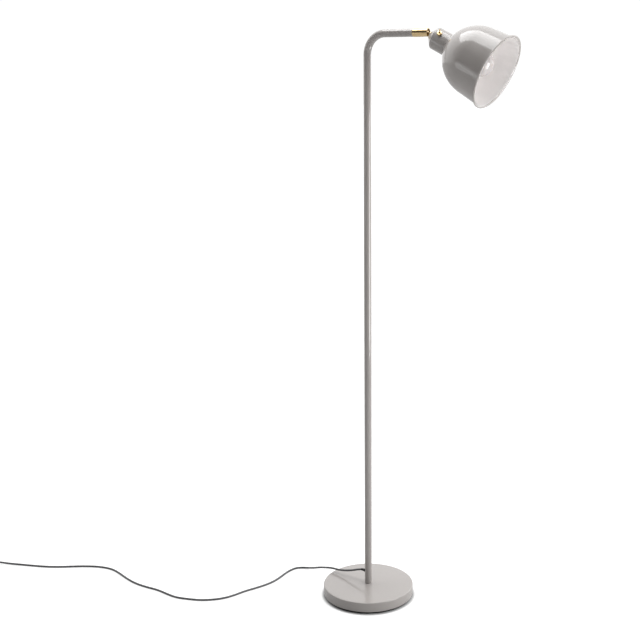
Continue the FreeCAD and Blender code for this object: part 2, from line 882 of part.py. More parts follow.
def bulb_outline(sketch, radius, neck_radius, start, neck_end, middle):
    """Half outline of the glass: neck, cone tangent to the ball, ball up to the axis."""
    reach = math.hypot(neck_radius.number, middle.number - neck_end.number)
    lean = math.atan2(neck_end.number - middle.number, neck_radius.number)
    lean += math.acos(radius.number / reach)
    touch = Vector(math.cos(lean), math.sin(lean), 0) * radius.number + Vector(0, middle.number, 0)
    corners = [(0, start), (neck_radius, start), (neck_radius, neck_end)]
    points = [Vector(plain(x), plain(y), 0) for x, y in corners] + [touch]
    points.append(Vector(0, middle.number + radius.number, 0))
    sides = [
        sketch.addGeometry(Part.LineSegment(points[i], points[i + 1]), False) for i in range(3)
    ]
    ball = Part.Circle(Vector(0, middle.number, 0), UP, radius.number)
    arc = sketch.addGeometry(Part.ArcOfCircle(ball, lean, math.pi / 2), False)
    axis = sketch.addGeometry(Part.LineSegment(points[4], points[0]), False)
    for i in range(2):
        sketch.addConstraint(Sketcher.Constraint("Coincident", sides[i], 2, sides[i + 1], 1))
    sketch.addConstraint(Sketcher.Constraint("Tangent", sides[2], 2, arc, 1))
    sketch.addConstraint(Sketcher.Constraint("Coincident", arc, 2, axis, 1))
    sketch.addConstraint(Sketcher.Constraint("Coincident", axis, 2, sides[0], 1))
    for side, (x, y) in zip(sides, corners):
        bind(sketch, "DistanceX", side, 1, x)
        bind(sketch, "DistanceY", side, 1, y)
    bind(sketch, "DistanceX", arc, 3, 0)
    bind(sketch, "DistanceY", arc, 3, middle)
    bind(sketch, "DistanceX", arc, 2, 0)
    number = sketch.addConstraint(Sketcher.Constraint("Radius", arc, radius.number))
    sketch.setExpression("Constraints[{}]".format(number), radius.formula)


def bulb():
    """Opal bulb: hollow glass on its metal screw cap."""
    tip = bulb_tip()
    cone_end = tip + S.bulb_tip_cone
    cap_end = tip + S.bulb_cap_length
    cap = new_body("bulb_cap", HEAD)
    revolve(
        cap,
        [
            (0, tip),
            (S.bulb_tip_radius, tip),
            (S.bulb_cap_radius, cone_end),
            (S.bulb_cap_radius, cap_end),
            (0, cap_end),
        ],
    )
    glass = new_body("bulb_glass", HEAD)
    middle = tip + S.bulb_length - S.bulb_radius
    outer = new_sketch(glass, "XZ_Plane")
    neck_end = cap_end + S.bulb_neck
    bulb_outline(outer, S.bulb_radius, S.bulb_cap_radius, cap_end, neck_end, middle)
    turned = glass.newObject("PartDesign::Revolution", "bulb_glass_turned")
    turned.Profile = (outer, [""])
    turned.ReferenceAxis = (outer, ["V_Axis"])
    turned.Angle = 360
    glass.Tip = turned
    doc.recompute()
    full = glass.Shape.Volume
    inner = new_sketch(glass, "XZ_Plane")
    wall = S.bulb_wall
    bulb_outline(inner, S.bulb_radius - wall, S.bulb_cap_radius - wall, cap_end, neck_end, middle)
    hollow = glass.newObject("PartDesign::Groove", "bulb_glass_hollow")
    hollow.Profile = (inner, [""])
    hollow.ReferenceAxis = (inner, ["V_Axis"])
    hollow.Angle = 360
    glass.Tip = hollow
    doc.recompute()
    if glass.Shape.Volume > 0.5 * full:
        raise RuntimeError("the bulb's glass isn't hollow")


# ---------------------------------------------------------------------------------------------
# Switch on the cup's side, drawn about its own axis: height is the distance from the cup's axis.
def toggle_switch():
    """Switch body inside the cup, threaded bushing, domed dress nut and lever."""
    box = new_body("switch_body", SWITCH)
    low = S.switch_body_top - S.switch_body_deep
    sketch = new_sketch(box, "XY_Plane", Placement(Vector(0, 0, low.number), Rotation()))
    sketch.setExpression("AttachmentOffset.Base.z", low.formula)
    long_half, wide_half = S.switch_body_long / 2, S.switch_body_wide / 2
    rectangle(sketch, -long_half, long_half, -wide_half, wide_half)
    extrude(box, "Pad", sketch, S.switch_body_deep)
    bushing = new_body("switch_bushing", SWITCH)
    ball_low = S.lever_pivot - S.lever_ball - S.joint_gap
    revolve(
        bushing,
        [
            (0, S.switch_body_top),
            (S.bushing_radius, S.switch_body_top),
            (S.bushing_radius, S.bushing_top),
            (S.bushing_bore, S.bushing_top),
            (S.bushing_bore, ball_low),
            (0, ball_low),
        ],
    )
    nut = new_body("switch_nut", SWITCH)
    seat = S.cup_radius + S.running_gap
    top = seat + S.dress_nut_height
    bore = S.bushing_radius + S.fit_gap
    shoulder = S.dress_nut_radius - S.dress_nut_round
    turn = top - S.dress_nut_round
    revolve(
        nut,
        [
            (bore, seat),
            (S.dress_nut_radius, seat),
            (S.dress_nut_radius, turn),
            (shoulder, top, shoulder, turn, "x"),
            (bore, top),
        ],
    )
    lever = new_body("toggle_lever", LEVER)
    neck = (S.lever_ball * S.lever_ball - S.lever_root * S.lever_root).root()
    ball_foot = -S.lever_ball
    end = S.lever_length
    revolve(
        lever,
        [
            (0, ball_foot),
            (S.lever_ball, Size(0, 0), 0, Size(0, 0), "y"),
            (S.lever_root, neck, 0, Size(0, 0), "x"),
            (S.lever_tip, end - S.lever_tip),
            (0, end, 0, end - S.lever_tip, "x"),
        ],
    )


# ---------------------------------------------------------------------------------------------
# Cord: a tube of straight runs joined by tangent arcs, then a coil, a tie and the plug.
def arc_between(start, corner, end):
    """The arc from start to end that touches the lines start-corner and corner-end, which are as
    long as each other, with its radius."""
    going = (corner - start).normalize()
    leaving = (end - corner).normalize()
    turn = going.getAngle(leaving)
    radius = (corner - start).Length / math.tan(turn / 2)
    inward = ((start + end) * 0.5 - corner).normalize()
    middle = corner + inward * (radius / math.cos(turn / 2) - radius)
    return Part.Arc(start, middle, end).toShape(), radius


def tube_along(edges):
    """A round solid of the cord's radius along the edges."""
    path = Part.Wire(edges)
    first = edges[0]
    start = first.valueAt(first.FirstParameter)
    heading = first.tangentAt(first.FirstParameter)
    ring = Part.Wire([Part.Circle(start, heading, S.cord_radius.number).toShape()])
    return path.makePipeShell([ring], True, False), path.Length


def plain_solid(name, shape):
    """A node whose shape comes from Part's own functions."""
    feature = doc.addObject("Part::Feature", name)
    feature.Label = name
    feature.Shape = shape
    feature.Placement = Placement()
    NODES.append((name, feature))
    return feature


def cord_lead():
    """The cord from the strain relief to the coil."""
    points = [Vector(*p) for p in CORD_ROUTE]
    edges, radii = [], []
    here = points[0]
    for before, corner, after in zip(points, points[1:], points[2:]):
        run_in, run_out = (corner - before).Length, (after - corner).Length
        trim = ARC_SHARE * min(run_in, run_out)
        start = corner + (before - corner).normalize() * trim
        end = corner + (after - corner).normalize() * trim
        arc, radius = arc_between(start, corner, end)
        edges += [Part.LineSegment(here, start).toShape(), arc]
        radii.append(radius)
        here = end
    edges.append(Part.LineSegment(here, points[-1]).toShape())
    solid, length = tube_along(edges)
    section = math.pi * S.cord_radius.number**2
    print("cord_lead length {:.1f} mm, radii {:.0f} to {:.0f} mm: {}".format(
        length, min(radii), max(radii), " ".join("{:.0f}".format(r) for r in radii)))
    print("cord_lead volume over section times length {:.4f}".format(solid.Volume / section / length))
    plain_solid("cord_lead", solid)
    return length


def coil_point(turns):
    """Place and heading on the coil's centreline after a number of turns, in the coil's frame."""
    reverse = COIL_TURNS_IN
    inward = turns if turns <= reverse else 2 * reverse - turns
    radius = COIL_RADIUS - COIL_STEP * inward
    growth = 0.0 if turns == reverse else math.copysign(COIL_STEP, turns - reverse)
    drop_start = reverse - COIL_DROP_TURNS / 2
    share = min(max((turns - drop_start) / COIL_DROP_TURNS, 0.0), 1.0)
    height = COIL_STEP * (1 - share * share * (3 - 2 * share))
    slope = -COIL_STEP * 6 * share * (1 - share) / COIL_DROP_TURNS
    angle = 2 * math.pi * turns
    out = Vector(math.cos(angle), math.sin(angle), 0)
    round_ = Vector(-math.sin(angle), math.cos(angle), 0)
    place = out * radius + UP * height
    heading = (round_ * (2 * math.pi * radius) + out * growth + UP * slope).normalize()
    return place, heading


def biarc(start, heading, end, heading_end):
    """Two arcs that leave start and reach end along the given headings."""
    chord = end - start
    both = heading + heading_end
    spread = 2 * (1 - heading.dot(heading_end))
    along = chord.dot(both)
    reach = (math.sqrt(along * along + spread * chord.dot(chord)) - along) / spread
    first = start + heading * reach
    second = end - heading_end * reach
    joint = (first + second) * 0.5
    return [arc_between(start, first, joint)[0], arc_between(joint, second, end)[0]]


def coil_place():
    """The coil's frame: it starts where the lead ends, one cord's diameter on, heading along Y."""
    last, before = Vector(*CORD_ROUTE[-1]), Vector(*CORD_ROUTE[-2])
    heading = last - before
    heading.z = 0
    heading.normalize()
    side = Vector(heading.y, -heading.x, 0)
    middle = last + heading * (2 * S.cord_radius.number) - side * COIL_RADIUS
    turned = math.degrees(math.atan2(side.y, side.x))
    return Placement(Vector(middle.x, middle.y, COIL_LOW), Rotation(UP, turned))


def least_gap(path):
    """Least gap between the coil's turns, measured on points along its centreline."""
    points = path.discretize(Distance=1.5)
    apart = int(4 * math.pi * S.cord_radius.number / 1.5)
    nearest = min(
        (points[i] - points[j]).Length
        for i in range(len(points))
        for j in range(i + apart, len(points))
    )
    return nearest - 2 * S.cord_radius.number


def cord_coil():
    """The put-away length of cord as one unbroken tube, and where and how it ends."""
    place = coil_place()
    quarters = int((COIL_TURNS_IN + COIL_TURNS_OUT) * 4)
    stations = [coil_point(i / 4) for i in range(quarters + 1)]
    stations[0] = (stations[0][0], Vector(0, 1, 0))
    last, heading = stations[-1]
    heading = Vector(heading.x, heading.y, 0).normalize()
    straight = 2 * S.cord_radius.number
    first = stations[0][0]
    edges = [Part.LineSegment(first - stations[0][1] * straight, first).toShape()]
    for (here, going), (there, reaching) in zip(stations, stations[1:]):
        edges += biarc(here, going, there, reaching)
    edges.append(Part.LineSegment(last, last + stations[-1][1] * straight).toShape())
    edges = [edge.transformed(place.toMatrix()) for edge in edges]
    solid, length = tube_along(edges)
    path = Part.Wire(edges)
    section = math.pi * S.cord_radius.number**2
    print("cord_coil length {:.1f} mm, least gap {:.2f} mm, volume ratio {:.4f}".format(
        length, least_gap(path), solid.Volume / section / length))
    plain_solid("cord_coil", solid)
    end = place.multVec(last + stations[-1][1] * straight)
    return length, end, place.Rotation.multVec(stations[-1][1])


def coil_tie():
    """A flat strap once round the coil's turns, half a turn from where the coil starts."""
    place = coil_place()
    cord, gap = S.cord_radius.number, S.tie_gap.number
    thick, width = S.tie_thickness.number, S.tie_width.number
    passes = [n + 0.5 for n in range(int(COIL_TURNS_IN + COIL_TURNS_OUT))]
    reaches = [math.hypot(*coil_point(t)[0][:2]) for t in passes]
    near = math.sqrt((min(reaches) - cord) ** 2 - width * width / 4) - gap
    far = max(reaches) + cord + gap
    low, high = -cord - S.tie_seat.number, COIL_STEP + cord + gap
    outside = Part.makeBox(
        far - near + 2 * thick, width, high - low + 2 * thick,
        Vector(-far - thick, -width / 2, low - thick))
    inside = Part.makeBox(far - near, width, high - low, Vector(-far, -width / 2, low))
    strap = outside.cut(inside)
    corners = [e for e in strap.Edges if abs(e.Length - width) < 1e-6]
    strap = strap.makeFillet(0.4 * thick, corners)
    feature = plain_solid("coil_tie", strap)
    feature.Placement = place


def plug(start, heading):
    """Flat two-pin plug lying on the floor, its tapered relief face to face with the coil."""
    facing = Rotation(Vector(0, 0, 1), heading)
    side = Vector(0, 0, 1).cross(heading)
    frame = Rotation(side, UP, heading, "ZXY")
    place = Placement(start, frame)
    drop = S.plug_thickness.number / 2 - start.z
    body = new_body("plug_body", place)
    neck, width, thick = S.plug_neck_width, S.plug_width, S.plug_thickness
    relief, length = S.plug_relief_length, S.plug_length
    sections = [(Size(0, 0), S.relief_tip_radius, 0.0), (relief, S.plug_relief_radius, drop)]
    loft_circles(body, sections)
    loft_boxes(body, [(relief, neck, thick * 0.9), (relief + length * 0.5, width, thick),
                      (relief + length, width, thick)], drop)
    dress(body, "Fillet", S.plug_edge_round, lambda e: long_edge(e, relief.number))
    pins = new_body("plug_pins", place)
    sketch = new_sketch(pins, "XY_Plane", Placement(Vector(0, drop, 0), Rotation()))
    sketch.setExpression("AttachmentOffset.Base.z", (relief + length).formula)
    circle(sketch, S.pin_spacing / 2, 0, S.pin_radius)
    circle(sketch, -S.pin_spacing / 2, 0, S.pin_radius)
    extrude(pins, "Pad", sketch, S.pin_length)
    return facing


def long_edge(edge, start):
    """Picks the plug body's four long corner edges."""
    ends = [v.Point.z for v in edge.Vertexes]
    straight = isinstance(edge.Curve, Part.Line) or edge.Length > 10
    return len(ends) == 2 and abs(ends[0] - ends[1]) > 5 and min(ends) >= start - 0.01 and straight


def loft(body, sketches):
    feature = body.newObject("PartDesign::AdditiveLoft", body.Label + "_loft")
    feature.Profile = (sketches[0], [""])
    feature.Sections = [(sketch, [""]) for sketch in sketches[1:]]
    feature.Ruled = True
    body.Tip = feature
    doc.recompute()
    return feature


def loft_circles(body, sections):
    """A tapered round piece through circles (height, radius, shift in Y)."""
    sketches = []
    for height, radius, shift in sections:
        sketch = new_sketch(body, "XY_Plane", Placement(Vector(0, shift, height.number), Rotation()))
        sketch.setExpression("AttachmentOffset.Base.z", height.formula)
        circle(sketch, 0, 0, radius)
        sketches.append(sketch)
    return loft(body, sketches)


def loft_boxes(body, sections, shift):
    """A block through rectangles (height, width, thickness), all at one shift in Y."""
    sketches = []
    for height, width, thick in sections:
        sketch = new_sketch(body, "XY_Plane", Placement(Vector(0, shift, height.number), Rotation()))
        sketch.setExpression("AttachmentOffset.Base.z", height.formula)
        rectangle(sketch, -width / 2, width / 2, -thick / 2, thick / 2)
        sketches.append(sketch)
    return loft(body, sketches)


# ---------------------------------------------------------------------------------------------
def build():
    """Every sub-part, from the floor up to the head and out along the cord."""
    base_cover()
    base_weight()
    base_fixings()
    lower_tube()
    tubes()
    cord_grommet()
    swivel()
    joint_tongue()
    shade_cup()
    shade()
    lampholder()
    bulb()
    toggle_switch()
    lead = cord_lead()
    coil, end, heading = cord_coil()
    coil_tie()
    plug(end, heading)
    print("cord length in all {:.0f} mm".format(lead + coil))


def write():
    """Check every object and each node's shape, then write one file for each node."""
    doc.recompute()
    for item in doc.Objects:
        if "Invalid" in item.State or "Error" in item.State:
            raise RuntimeError("{} is in state {}".format(item.Label, item.State))
    for name, item in NODES:
        if item.Shape.isNull() or not item.Shape.isValid() or item.Shape.Volume <= 0:
            raise RuntimeError("{} has no valid shape".format(name))
    os.makedirs("parts", exist_ok=True)
    for name, item in NODES:
        item.Shape.exportStep("parts/{}.step".format(name))
        box = item.Shape.BoundBox
        print("{:16s} solids {} volume {:9.1f} z {:8.2f} to {:8.2f}".format(
            name, len(item.Shape.Solids), item.Shape.Volume, box.ZMin, box.ZMax))


build()
write()
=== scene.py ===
"""Dresses the reading floor lamp: painted stand and shade, brass joint and switch, bulb and flex."""

import logging
import math
from collections.abc import Sequence
from dataclasses import dataclass, field
from enum import Enum

import bmesh
import bpy
from mathutils import Matrix, Vector


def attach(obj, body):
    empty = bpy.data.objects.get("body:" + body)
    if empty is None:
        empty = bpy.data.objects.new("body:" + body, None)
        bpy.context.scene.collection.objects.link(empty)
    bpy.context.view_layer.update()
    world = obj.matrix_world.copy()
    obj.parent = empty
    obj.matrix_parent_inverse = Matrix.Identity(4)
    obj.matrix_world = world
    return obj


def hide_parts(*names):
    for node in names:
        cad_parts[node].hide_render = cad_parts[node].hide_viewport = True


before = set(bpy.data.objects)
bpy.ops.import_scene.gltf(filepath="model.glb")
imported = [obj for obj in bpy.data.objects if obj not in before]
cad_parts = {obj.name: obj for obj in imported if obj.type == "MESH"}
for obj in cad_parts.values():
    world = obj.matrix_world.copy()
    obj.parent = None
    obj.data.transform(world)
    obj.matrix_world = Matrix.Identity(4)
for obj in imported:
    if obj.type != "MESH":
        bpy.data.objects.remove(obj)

log = logging.getLogger("lamp")
MM = 0.001
Outline = list[tuple[float, float]]
Colour = tuple[float, float, float]


class Body(Enum):
    """The rigid bodies that pieces ride on."""

    STAND = "stand"
    SWIVEL = "swivel"
    HEAD = "head"
    TOGGLE = "toggle"


class Slot(Enum):
    """The record's material slot names; no piece below is given one."""

    PAINT = "grey_paint"
    RUBBER = "black_rubber"
    BRASS = "brass"
    HOLDER = "holder_plastic"
    PLASTIC = "black_plastic"
    FLEX = "cord_jacket"
    CAP = "bulb_cap_metal"
    OPAL = "opal_glass"


# ---------------------------------------------------------------------------------------------
# Node trees written as expressions.
class Wire:
    """A node's output socket that can be used in arithmetic."""

    def __init__(self, tree: "Tree", socket: bpy.types.NodeSocket) -> None:
        """Wrap one socket of a tree."""
        self.tree = tree
        self.socket = socket

    def _math(self, operation: str, first: object, second: object) -> "Wire":
        """Add a Math node.

        Args:
            operation: The node's operation.
            first: A wire or a number.
            second: A wire or a number.

        Returns:
            The node's result.
        """
        return self.tree.node("ShaderNodeMath", {"operation": operation}, {0: first, 1: second})

    def __add__(self, other: object) -> "Wire":
        """Sum."""
        return self._math("ADD", self, other)

    def __radd__(self, other: object) -> "Wire":
        """Reflected sum."""
        return self._math("ADD", other, self)

    def __sub__(self, other: object) -> "Wire":
        """Difference."""
        return self._math("SUBTRACT", self, other)

    def __rsub__(self, other: object) -> "Wire":
        """Reflected difference."""
        return self._math("SUBTRACT", other, self)

    def __mul__(self, other: object) -> "Wire":
        """Product."""
        return self._math("MULTIPLY", self, other)

    def __rmul__(self, other: object) -> "Wire":
        """Reflected product."""
        return self._math("MULTIPLY", other, self)

    def smooth(self, low: float, high: float) -> "Wire":
        """Smooth step from 0 at low to 1 at high.

        Args:
            low: Value that gives 0.
            high: Value that gives 1.

        Returns:
            The stepped value.
        """
        settings = {"interpolation_type": "SMOOTHSTEP"}
        values = {0: self, 1: low, 2: high, 3: 0.0, 4: 1.0}
        return self.tree.node("ShaderNodeMapRange", settings, values)


class Tree:
    """A node tree with one method that adds any node."""

    def __init__(self, group: bpy.types.NodeTree) -> None:
        """Wrap a node tree."""
        self.group = group

    def node(
        self,
        kind: str,
        settings: dict[str, object] | None = None,
        inputs: dict[int | str, object] | None = None,
        output: int | str | None = 0,
    ) -> Wire | None:
        """Add a node.

        Args:
            kind: The node's type.
            settings: Its properties, which are set first.
            inputs: Values or wires for its sockets, by index or name.
            output: The output to return; None for a node that ends the tree.

        Returns:
            The chosen output.
        """
        node = self.group.nodes.new(kind)
        for key, value in (settings or {}).items():
            setattr(node, key, value)
        for key, value in (inputs or {}).items():
            if isinstance(value, Wire):
                self.group.links.new(value.socket, node.inputs[key])
            else:
                node.inputs[key].default_value = value
        return Wire(self, node.outputs[output]) if output is not None else None

    def reach(self, place: Wire, axis: Vector) -> Wire:
        """How far a place or direction goes along an axis.

        Args:
            place: The place or direction.
            axis: Unit direction.

        Returns:
            The distance.
        """
        settings = {"operation": "DOT_PRODUCT"}
        return self.node("ShaderNodeVectorMath", settings, {0: place, 1: axis}, "Value")


class Recipe(Tree):
    """A material's node tree."""

    def __init__(self, name: str) -> None:
        """Start an empty material.

        Args:
            name: The material's name.
        """
        self.material = bpy.data.materials.new(name)
        self.material.use_nodes = True
        super().__init__(self.material.node_tree)
        self.group.nodes.clear()
        self.place = self.node("ShaderNodeTexCoord", output="Object")

    def noise(self, scale: float, detail: float) -> Wire:
        """Soft noise from 0 to 1.

        Args:
            scale: Features per metre.
            detail: Octaves.

        Returns:
            The noise value.
        """
        values = {"Vector": self.place, "Scale": scale, "Detail": detail}
        return self.node("ShaderNodeTexNoise", None, values, "Fac")

    def blend(self, share: Wire | float, first: object, second: object) -> Wire:
        """Mix two colours.

        Args:
            share: How much of the second.
            first: A colour or wire.
            second: A colour or wire.

        Returns:
            The mixed colour.
        """
        colours = [v if isinstance(v, Wire) else (*v, 1.0) for v in (first, second)]
        values = {0: share, 6: colours[0], 7: colours[1]}
        return self.node("ShaderNodeMix", {"data_type": "RGBA"}, values, 2)

    def relief(self, height: Wire, depth: float) -> Wire:
        """Bump from a height.

        Args:
            height: Height from 0 to 1.
            depth: Metres that a height of 1 stands for.

        Returns:
            The normal.
        """
        values = {"Strength": 1.0, "Distance": depth, "Height": height}
        return self.node("ShaderNodeBump", None, values)

    def surface(self, **sockets: object) -> bpy.types.Material:
        """Close the recipe with a Principled surface.

        Args:
            sockets: Values or wires by socket name, with _ for each space.

        Returns:
            The finished material.
        """
        values = {key.replace("_", " "): value for key, value in sockets.items()}
        for key, value in values.items():
            if isinstance(value, tuple) and len(value) == 3:
                values[key] = (*value, 1.0)
        shader = self.node("ShaderNodeBsdfPrincipled", None, values)
        self.node("ShaderNodeOutputMaterial", None, {"Surface": shader}, None)
        return self.material


def tone(red: int, green: int, blue: int) -> Colour:
    """Linear colour from 8-bit display values.

    Args:
        red: 0 to 255.
        green: 0 to 255.
        blue: 0 to 255.

    Returns:
        Linear red, green and blue.
    """
    parts = [value / 255 for value in (red, green, blue)]
    return tuple(v / 12.92 if v < 0.04045 else ((v + 0.055) / 1.055) ** 2.4 for v in parts)


def scaled(colour: Colour, share: float) -> Colour:
    """The same colour lighter or darker, up to white.

    Args:
        colour: Linear colour.
        share: What each part is multiplied by.

    Returns:
        The new colour.
    """
    return tuple(min(part * share, 1.0) for part in colour)


# ---------------------------------------------------------------------------------------------
# Finishes.
@dataclass(frozen=True)
class Enamel:
    """Sprayed gloss paint with a faint orange peel, dust specks and softer rubbed patches."""

    name: str
    colour: Colour
    roughness: float = 0.14
    coat: float = 0.5
    peel: float = 7e-6

    def material(self) -> bpy.types.Material:
        """Build the material."""
        mix = Recipe(self.name)
        cloud = mix.noise(9.0, 3.0)
        peel = mix.noise(520.0, 2.0)
        fine = mix.noise(2600.0, 1.0)
        speck = mix.noise(900.0, 0.0).smooth(0.74, 0.8)
        dark, light = scaled(self.colour, 0.94), scaled(self.colour, 1.035)
        base = mix.blend(speck * 0.25, mix.blend(cloud, dark, light), scaled(dark, 0.7))
        gloss = cloud * 0.05 + fine * 0.03 + speck * 0.2 + (self.roughness - 0.04)
        return mix.surface(
            Base_Color=base,
            Roughness=gloss,
            Normal=mix.relief(peel + fine * 0.15, self.peel),
            Coat_Weight=self.coat,
            Coat_Roughness=0.04,
            Specular_IOR_Level=0.5,
        )


@dataclass(frozen=True)
class TurnedMetal:
    """Metal turned on a lathe: fine rings across one axis, with faint tarnish."""

    name: str
    colour: Colour
    axis: Vector
    roughness: float = 0.2
    groove: float = 2.5e-6
    tarnish: float = 0.25

    def material(self) -> bpy.types.Material:
        """Build the material."""
        mix = Recipe(self.name)
        values = {"W": mix.reach(mix.place, self.axis), "Scale": 5200.0, "Detail": 3.0}
        rings = mix.node("ShaderNodeTexNoise", {"noise_dimensions": "1D"}, values, "Fac")
        cloud = mix.noise(120.0, 3.0)
        spots = mix.noise(700.0, 2.0).smooth(0.62, 0.75)
        worn = cloud.smooth(0.35, 0.75) * self.tarnish + spots * 0.12
        return mix.surface(
            Base_Color=mix.blend(worn, self.colour, scaled(self.colour, 0.72)),
            Metallic=1.0,
            Roughness=cloud * 0.08 + rings * 0.1 + spots * 0.1 + (self.roughness - 0.06),
            Normal=mix.relief(rings, self.groove),
            Coat_Weight=0.4,
            Coat_Roughness=0.08,
        )


@dataclass(frozen=True)
class Moulded:
    """Moulded plastic or rubber: a fine grain, flow clouds and a little dust."""

    name: str
    colour: Colour
    roughness: float = 0.45
    grain: float = 1600.0
    depth: float = 1.5e-5
    dust: float = 0.05

    def material(self) -> bpy.types.Material:
        """Build the material."""
        mix = Recipe(self.name)
        grain = mix.noise(self.grain, 3.0)
        cloud = mix.noise(60.0, 3.0)
        dust = cloud.smooth(0.5, 0.8) * grain.smooth(0.4, 0.7) * self.dust
        pale = tuple(min(1.0, c + 0.35) for c in self.colour)
        return mix.surface(
            Base_Color=mix.blend(dust, self.colour, pale),
            Roughness=grain * 0.12 + cloud * 0.08 + (self.roughness - 0.1),
            Normal=mix.relief(grain, self.depth),
        )


@dataclass(frozen=True)
class CastIron:
    """Sand-cast iron under a thin primer."""

    name: str
    colour: Colour

    def material(self) -> bpy.types.Material:
        """Build the material."""
        mix = Recipe(self.name)
        sand = mix.noise(420.0, 6.0)
        patch = mix.noise(22.0, 3.0)
        rust = (patch.smooth(0.55, 0.75) * sand.smooth(0.45, 0.7)) * 0.6
        return mix.surface(
            Base_Color=mix.blend(rust, self.colour, tone(112, 66, 44)),
            Metallic=0.35,
            Roughness=sand * 0.25 + 0.5,
            Normal=mix.relief(sand, 2.2e-4),
        )


@dataclass(frozen=True)
class ZincPlate:
    """Zinc plated steel with a dull spangle."""

    name: str
    colour: Colour

    def material(self) -> bpy.types.Material:
        """Build the material."""
        mix = Recipe(self.name)
        values = {"Vector": mix.place, "Scale": 300.0}
        cells = mix.node("ShaderNodeTexVoronoi", None, values, "Color")
        grey = mix.node("ShaderNodeSeparateColor", None, {0: cells}, 0)
        fine = mix.noise(2200.0, 2.0)
        return mix.surface(
            Base_Color=mix.blend(grey * 0.6, self.colour, scaled(self.colour, 0.8)),
            Metallic=1.0,
            Roughness=grey * 0.1 + fine * 0.12 + 0.26,
            Normal=mix.relief(fine, 4e-6),
        )


@dataclass(frozen=True)
class OpalGlass:
    """Glossy opal glass, milky inside with a faint warm cast."""

    name: str
    colour: Colour

    def material(self) -> bpy.types.Material:
        """Build the material."""
        mix = Recipe(self.name)
        milk = mix.noise(35.0, 2.0)
        ripple = mix.noise(90.0, 1.0)
        return mix.surface(
            Base_Color=mix.blend(milk * 0.5, self.colour, scaled(self.colour, 0.97)),
            Roughness=milk * 0.06 + 0.1,
            Normal=mix.relief(ripple, 3e-5),
            Subsurface_Weight=0.35,
            Subsurface_Radius=Vector((0.01, 0.008, 0.006)),
            Subsurface_Scale=0.2,
            Coat_Weight=0.4,
            Coat_Roughness=0.03,
        )


@dataclass(frozen=True)
class FlexJacket:
    """Extruded flex jacket: fine lengthwise drawing lines, scuffs and a soft sheen."""

    name: str
    colour: Colour

    def material(self) -> bpy.types.Material:
        """Build the material."""
        mix = Recipe(self.name)
        scuff = mix.noise(240.0, 4.0)
        fine = mix.noise(2400.0, 2.0)
        pale = tuple(c * 1.9 + 0.01 for c in self.colour)
        return mix.surface(
            Base_Color=mix.blend(scuff.smooth(0.5, 0.8) * 0.5, self.colour, pale),
            Roughness=scuff * 0.2 + fine * 0.1 + 0.3,
            Normal=mix.relief(fine + scuff * 0.5, 1.2e-5),
            Sheen_Weight=0.1,
        )


# ---------------------------------------------------------------------------------------------
# Shapes. Sizes are millimetres in a piece's own frame; a place turns them into metres.
SHARP = 40.0
"""Angle in degrees past which an edge stays sharp, where a piece has no other."""
LONGEST_CUT = 0.49
"""Most of a side that one rounded corner may take."""
NOTHING = 1e-6
"""Millimetres that count as no distance."""


def rounded(corners: Sequence[tuple[float, ...]], steps: int = 5) -> Outline:
    """Round the corners of a closed outline.

    Args:
        corners: (x, y) or (x, y, radius) in order.
        steps: Segments for each rounded corner.

    Returns:
        Points of the outline.
    """
    points: Outline = []
    for i, corner in enumerate(corners):
        here = Vector(corner[:2])
        radius = corner[2] if len(corner) > 2 else 0.0
        if radius <= 0:
            points.append((here.x, here.y))
            continue
        back = Vector(corners[i - 1][:2]) - here
        ahead = Vector(corners[(i + 1) % len(corners)][:2]) - here
        half = back.angle(ahead) / 2
        cut = min(radius / math.tan(half), LONGEST_CUT * min(back.length, ahead.length))
        reach = cut * math.tan(half)
        inward = (back.normalized() + ahead.normalized()).normalized()
        middle = here + inward * (reach / math.sin(half))
        first = here + back.normalized() * cut - middle
        last = here + ahead.normalized() * cut - middle
        start = math.atan2(first.y, first.x)
        sweep = (math.atan2(last.y, last.x) - start + math.pi) % (2 * math.pi) - math.pi
        for k in range(steps + 1):
            angle = start + sweep * k / steps
            points.append((middle.x + reach * math.cos(angle), middle.y + reach * math.sin(angle)))
    return points


def arc(
    centre: tuple[float, float], radius: float, start: float, end: float, steps: int
) -> Outline:
    """Points on an arc, both ends included.

    Args:
        centre: (x, y).
        radius: Radius.
        start: First angle in degrees.
        end: Last angle in degrees.
        steps: Segments.

    Returns:
        The points.
    """
    angles = [math.radians(start + (end - start) * k / steps) for k in range(steps + 1)]
    return [(centre[0] + radius * math.cos(a), centre[1] + radius * math.sin(a)) for a in angles]


def finished_mesh(form: bmesh.types.BMesh, name: str, place: Matrix, sharp: float) -> bpy.types.Mesh:
    """Close a form into a smooth mesh in its place.

    Args:
        form: The bmesh, in millimetres; it is freed.
        name: The mesh's name.
        place: From the form's millimetres to metres.
        sharp: Angle in degrees past which an edge stays sharp.

    Returns:
        The mesh.
    """
    bmesh.ops.remove_doubles(form, verts=form.verts, dist=1e-4)
    bmesh.ops.dissolve_degenerate(form, edges=form.edges, dist=1e-5)
    bmesh.ops.recalc_face_normals(form, faces=form.faces)
    for face in form.faces:
        face.smooth = True
    form.transform(place)
    mesh = bpy.data.meshes.new(name)
    form.to_mesh(mesh)
    form.free()
    mesh.set_sharp_from_angle(angle=math.radians(sharp))
    return mesh


def skin(form: bmesh.types.BMesh, rings: Sequence[Sequence[bmesh.types.BMVert]]) -> None:
    """Join each ring of vertices to the next with faces.

    Args:
        form: The bmesh that holds them.
        rings: Rings with the same number of vertices.
    """
    for near, far in zip(rings, rings[1:]):
        for k, vert in enumerate(near):
            j = (k + 1) % len(near)
            form.faces.new((vert, near[j], far[j], far[k]))


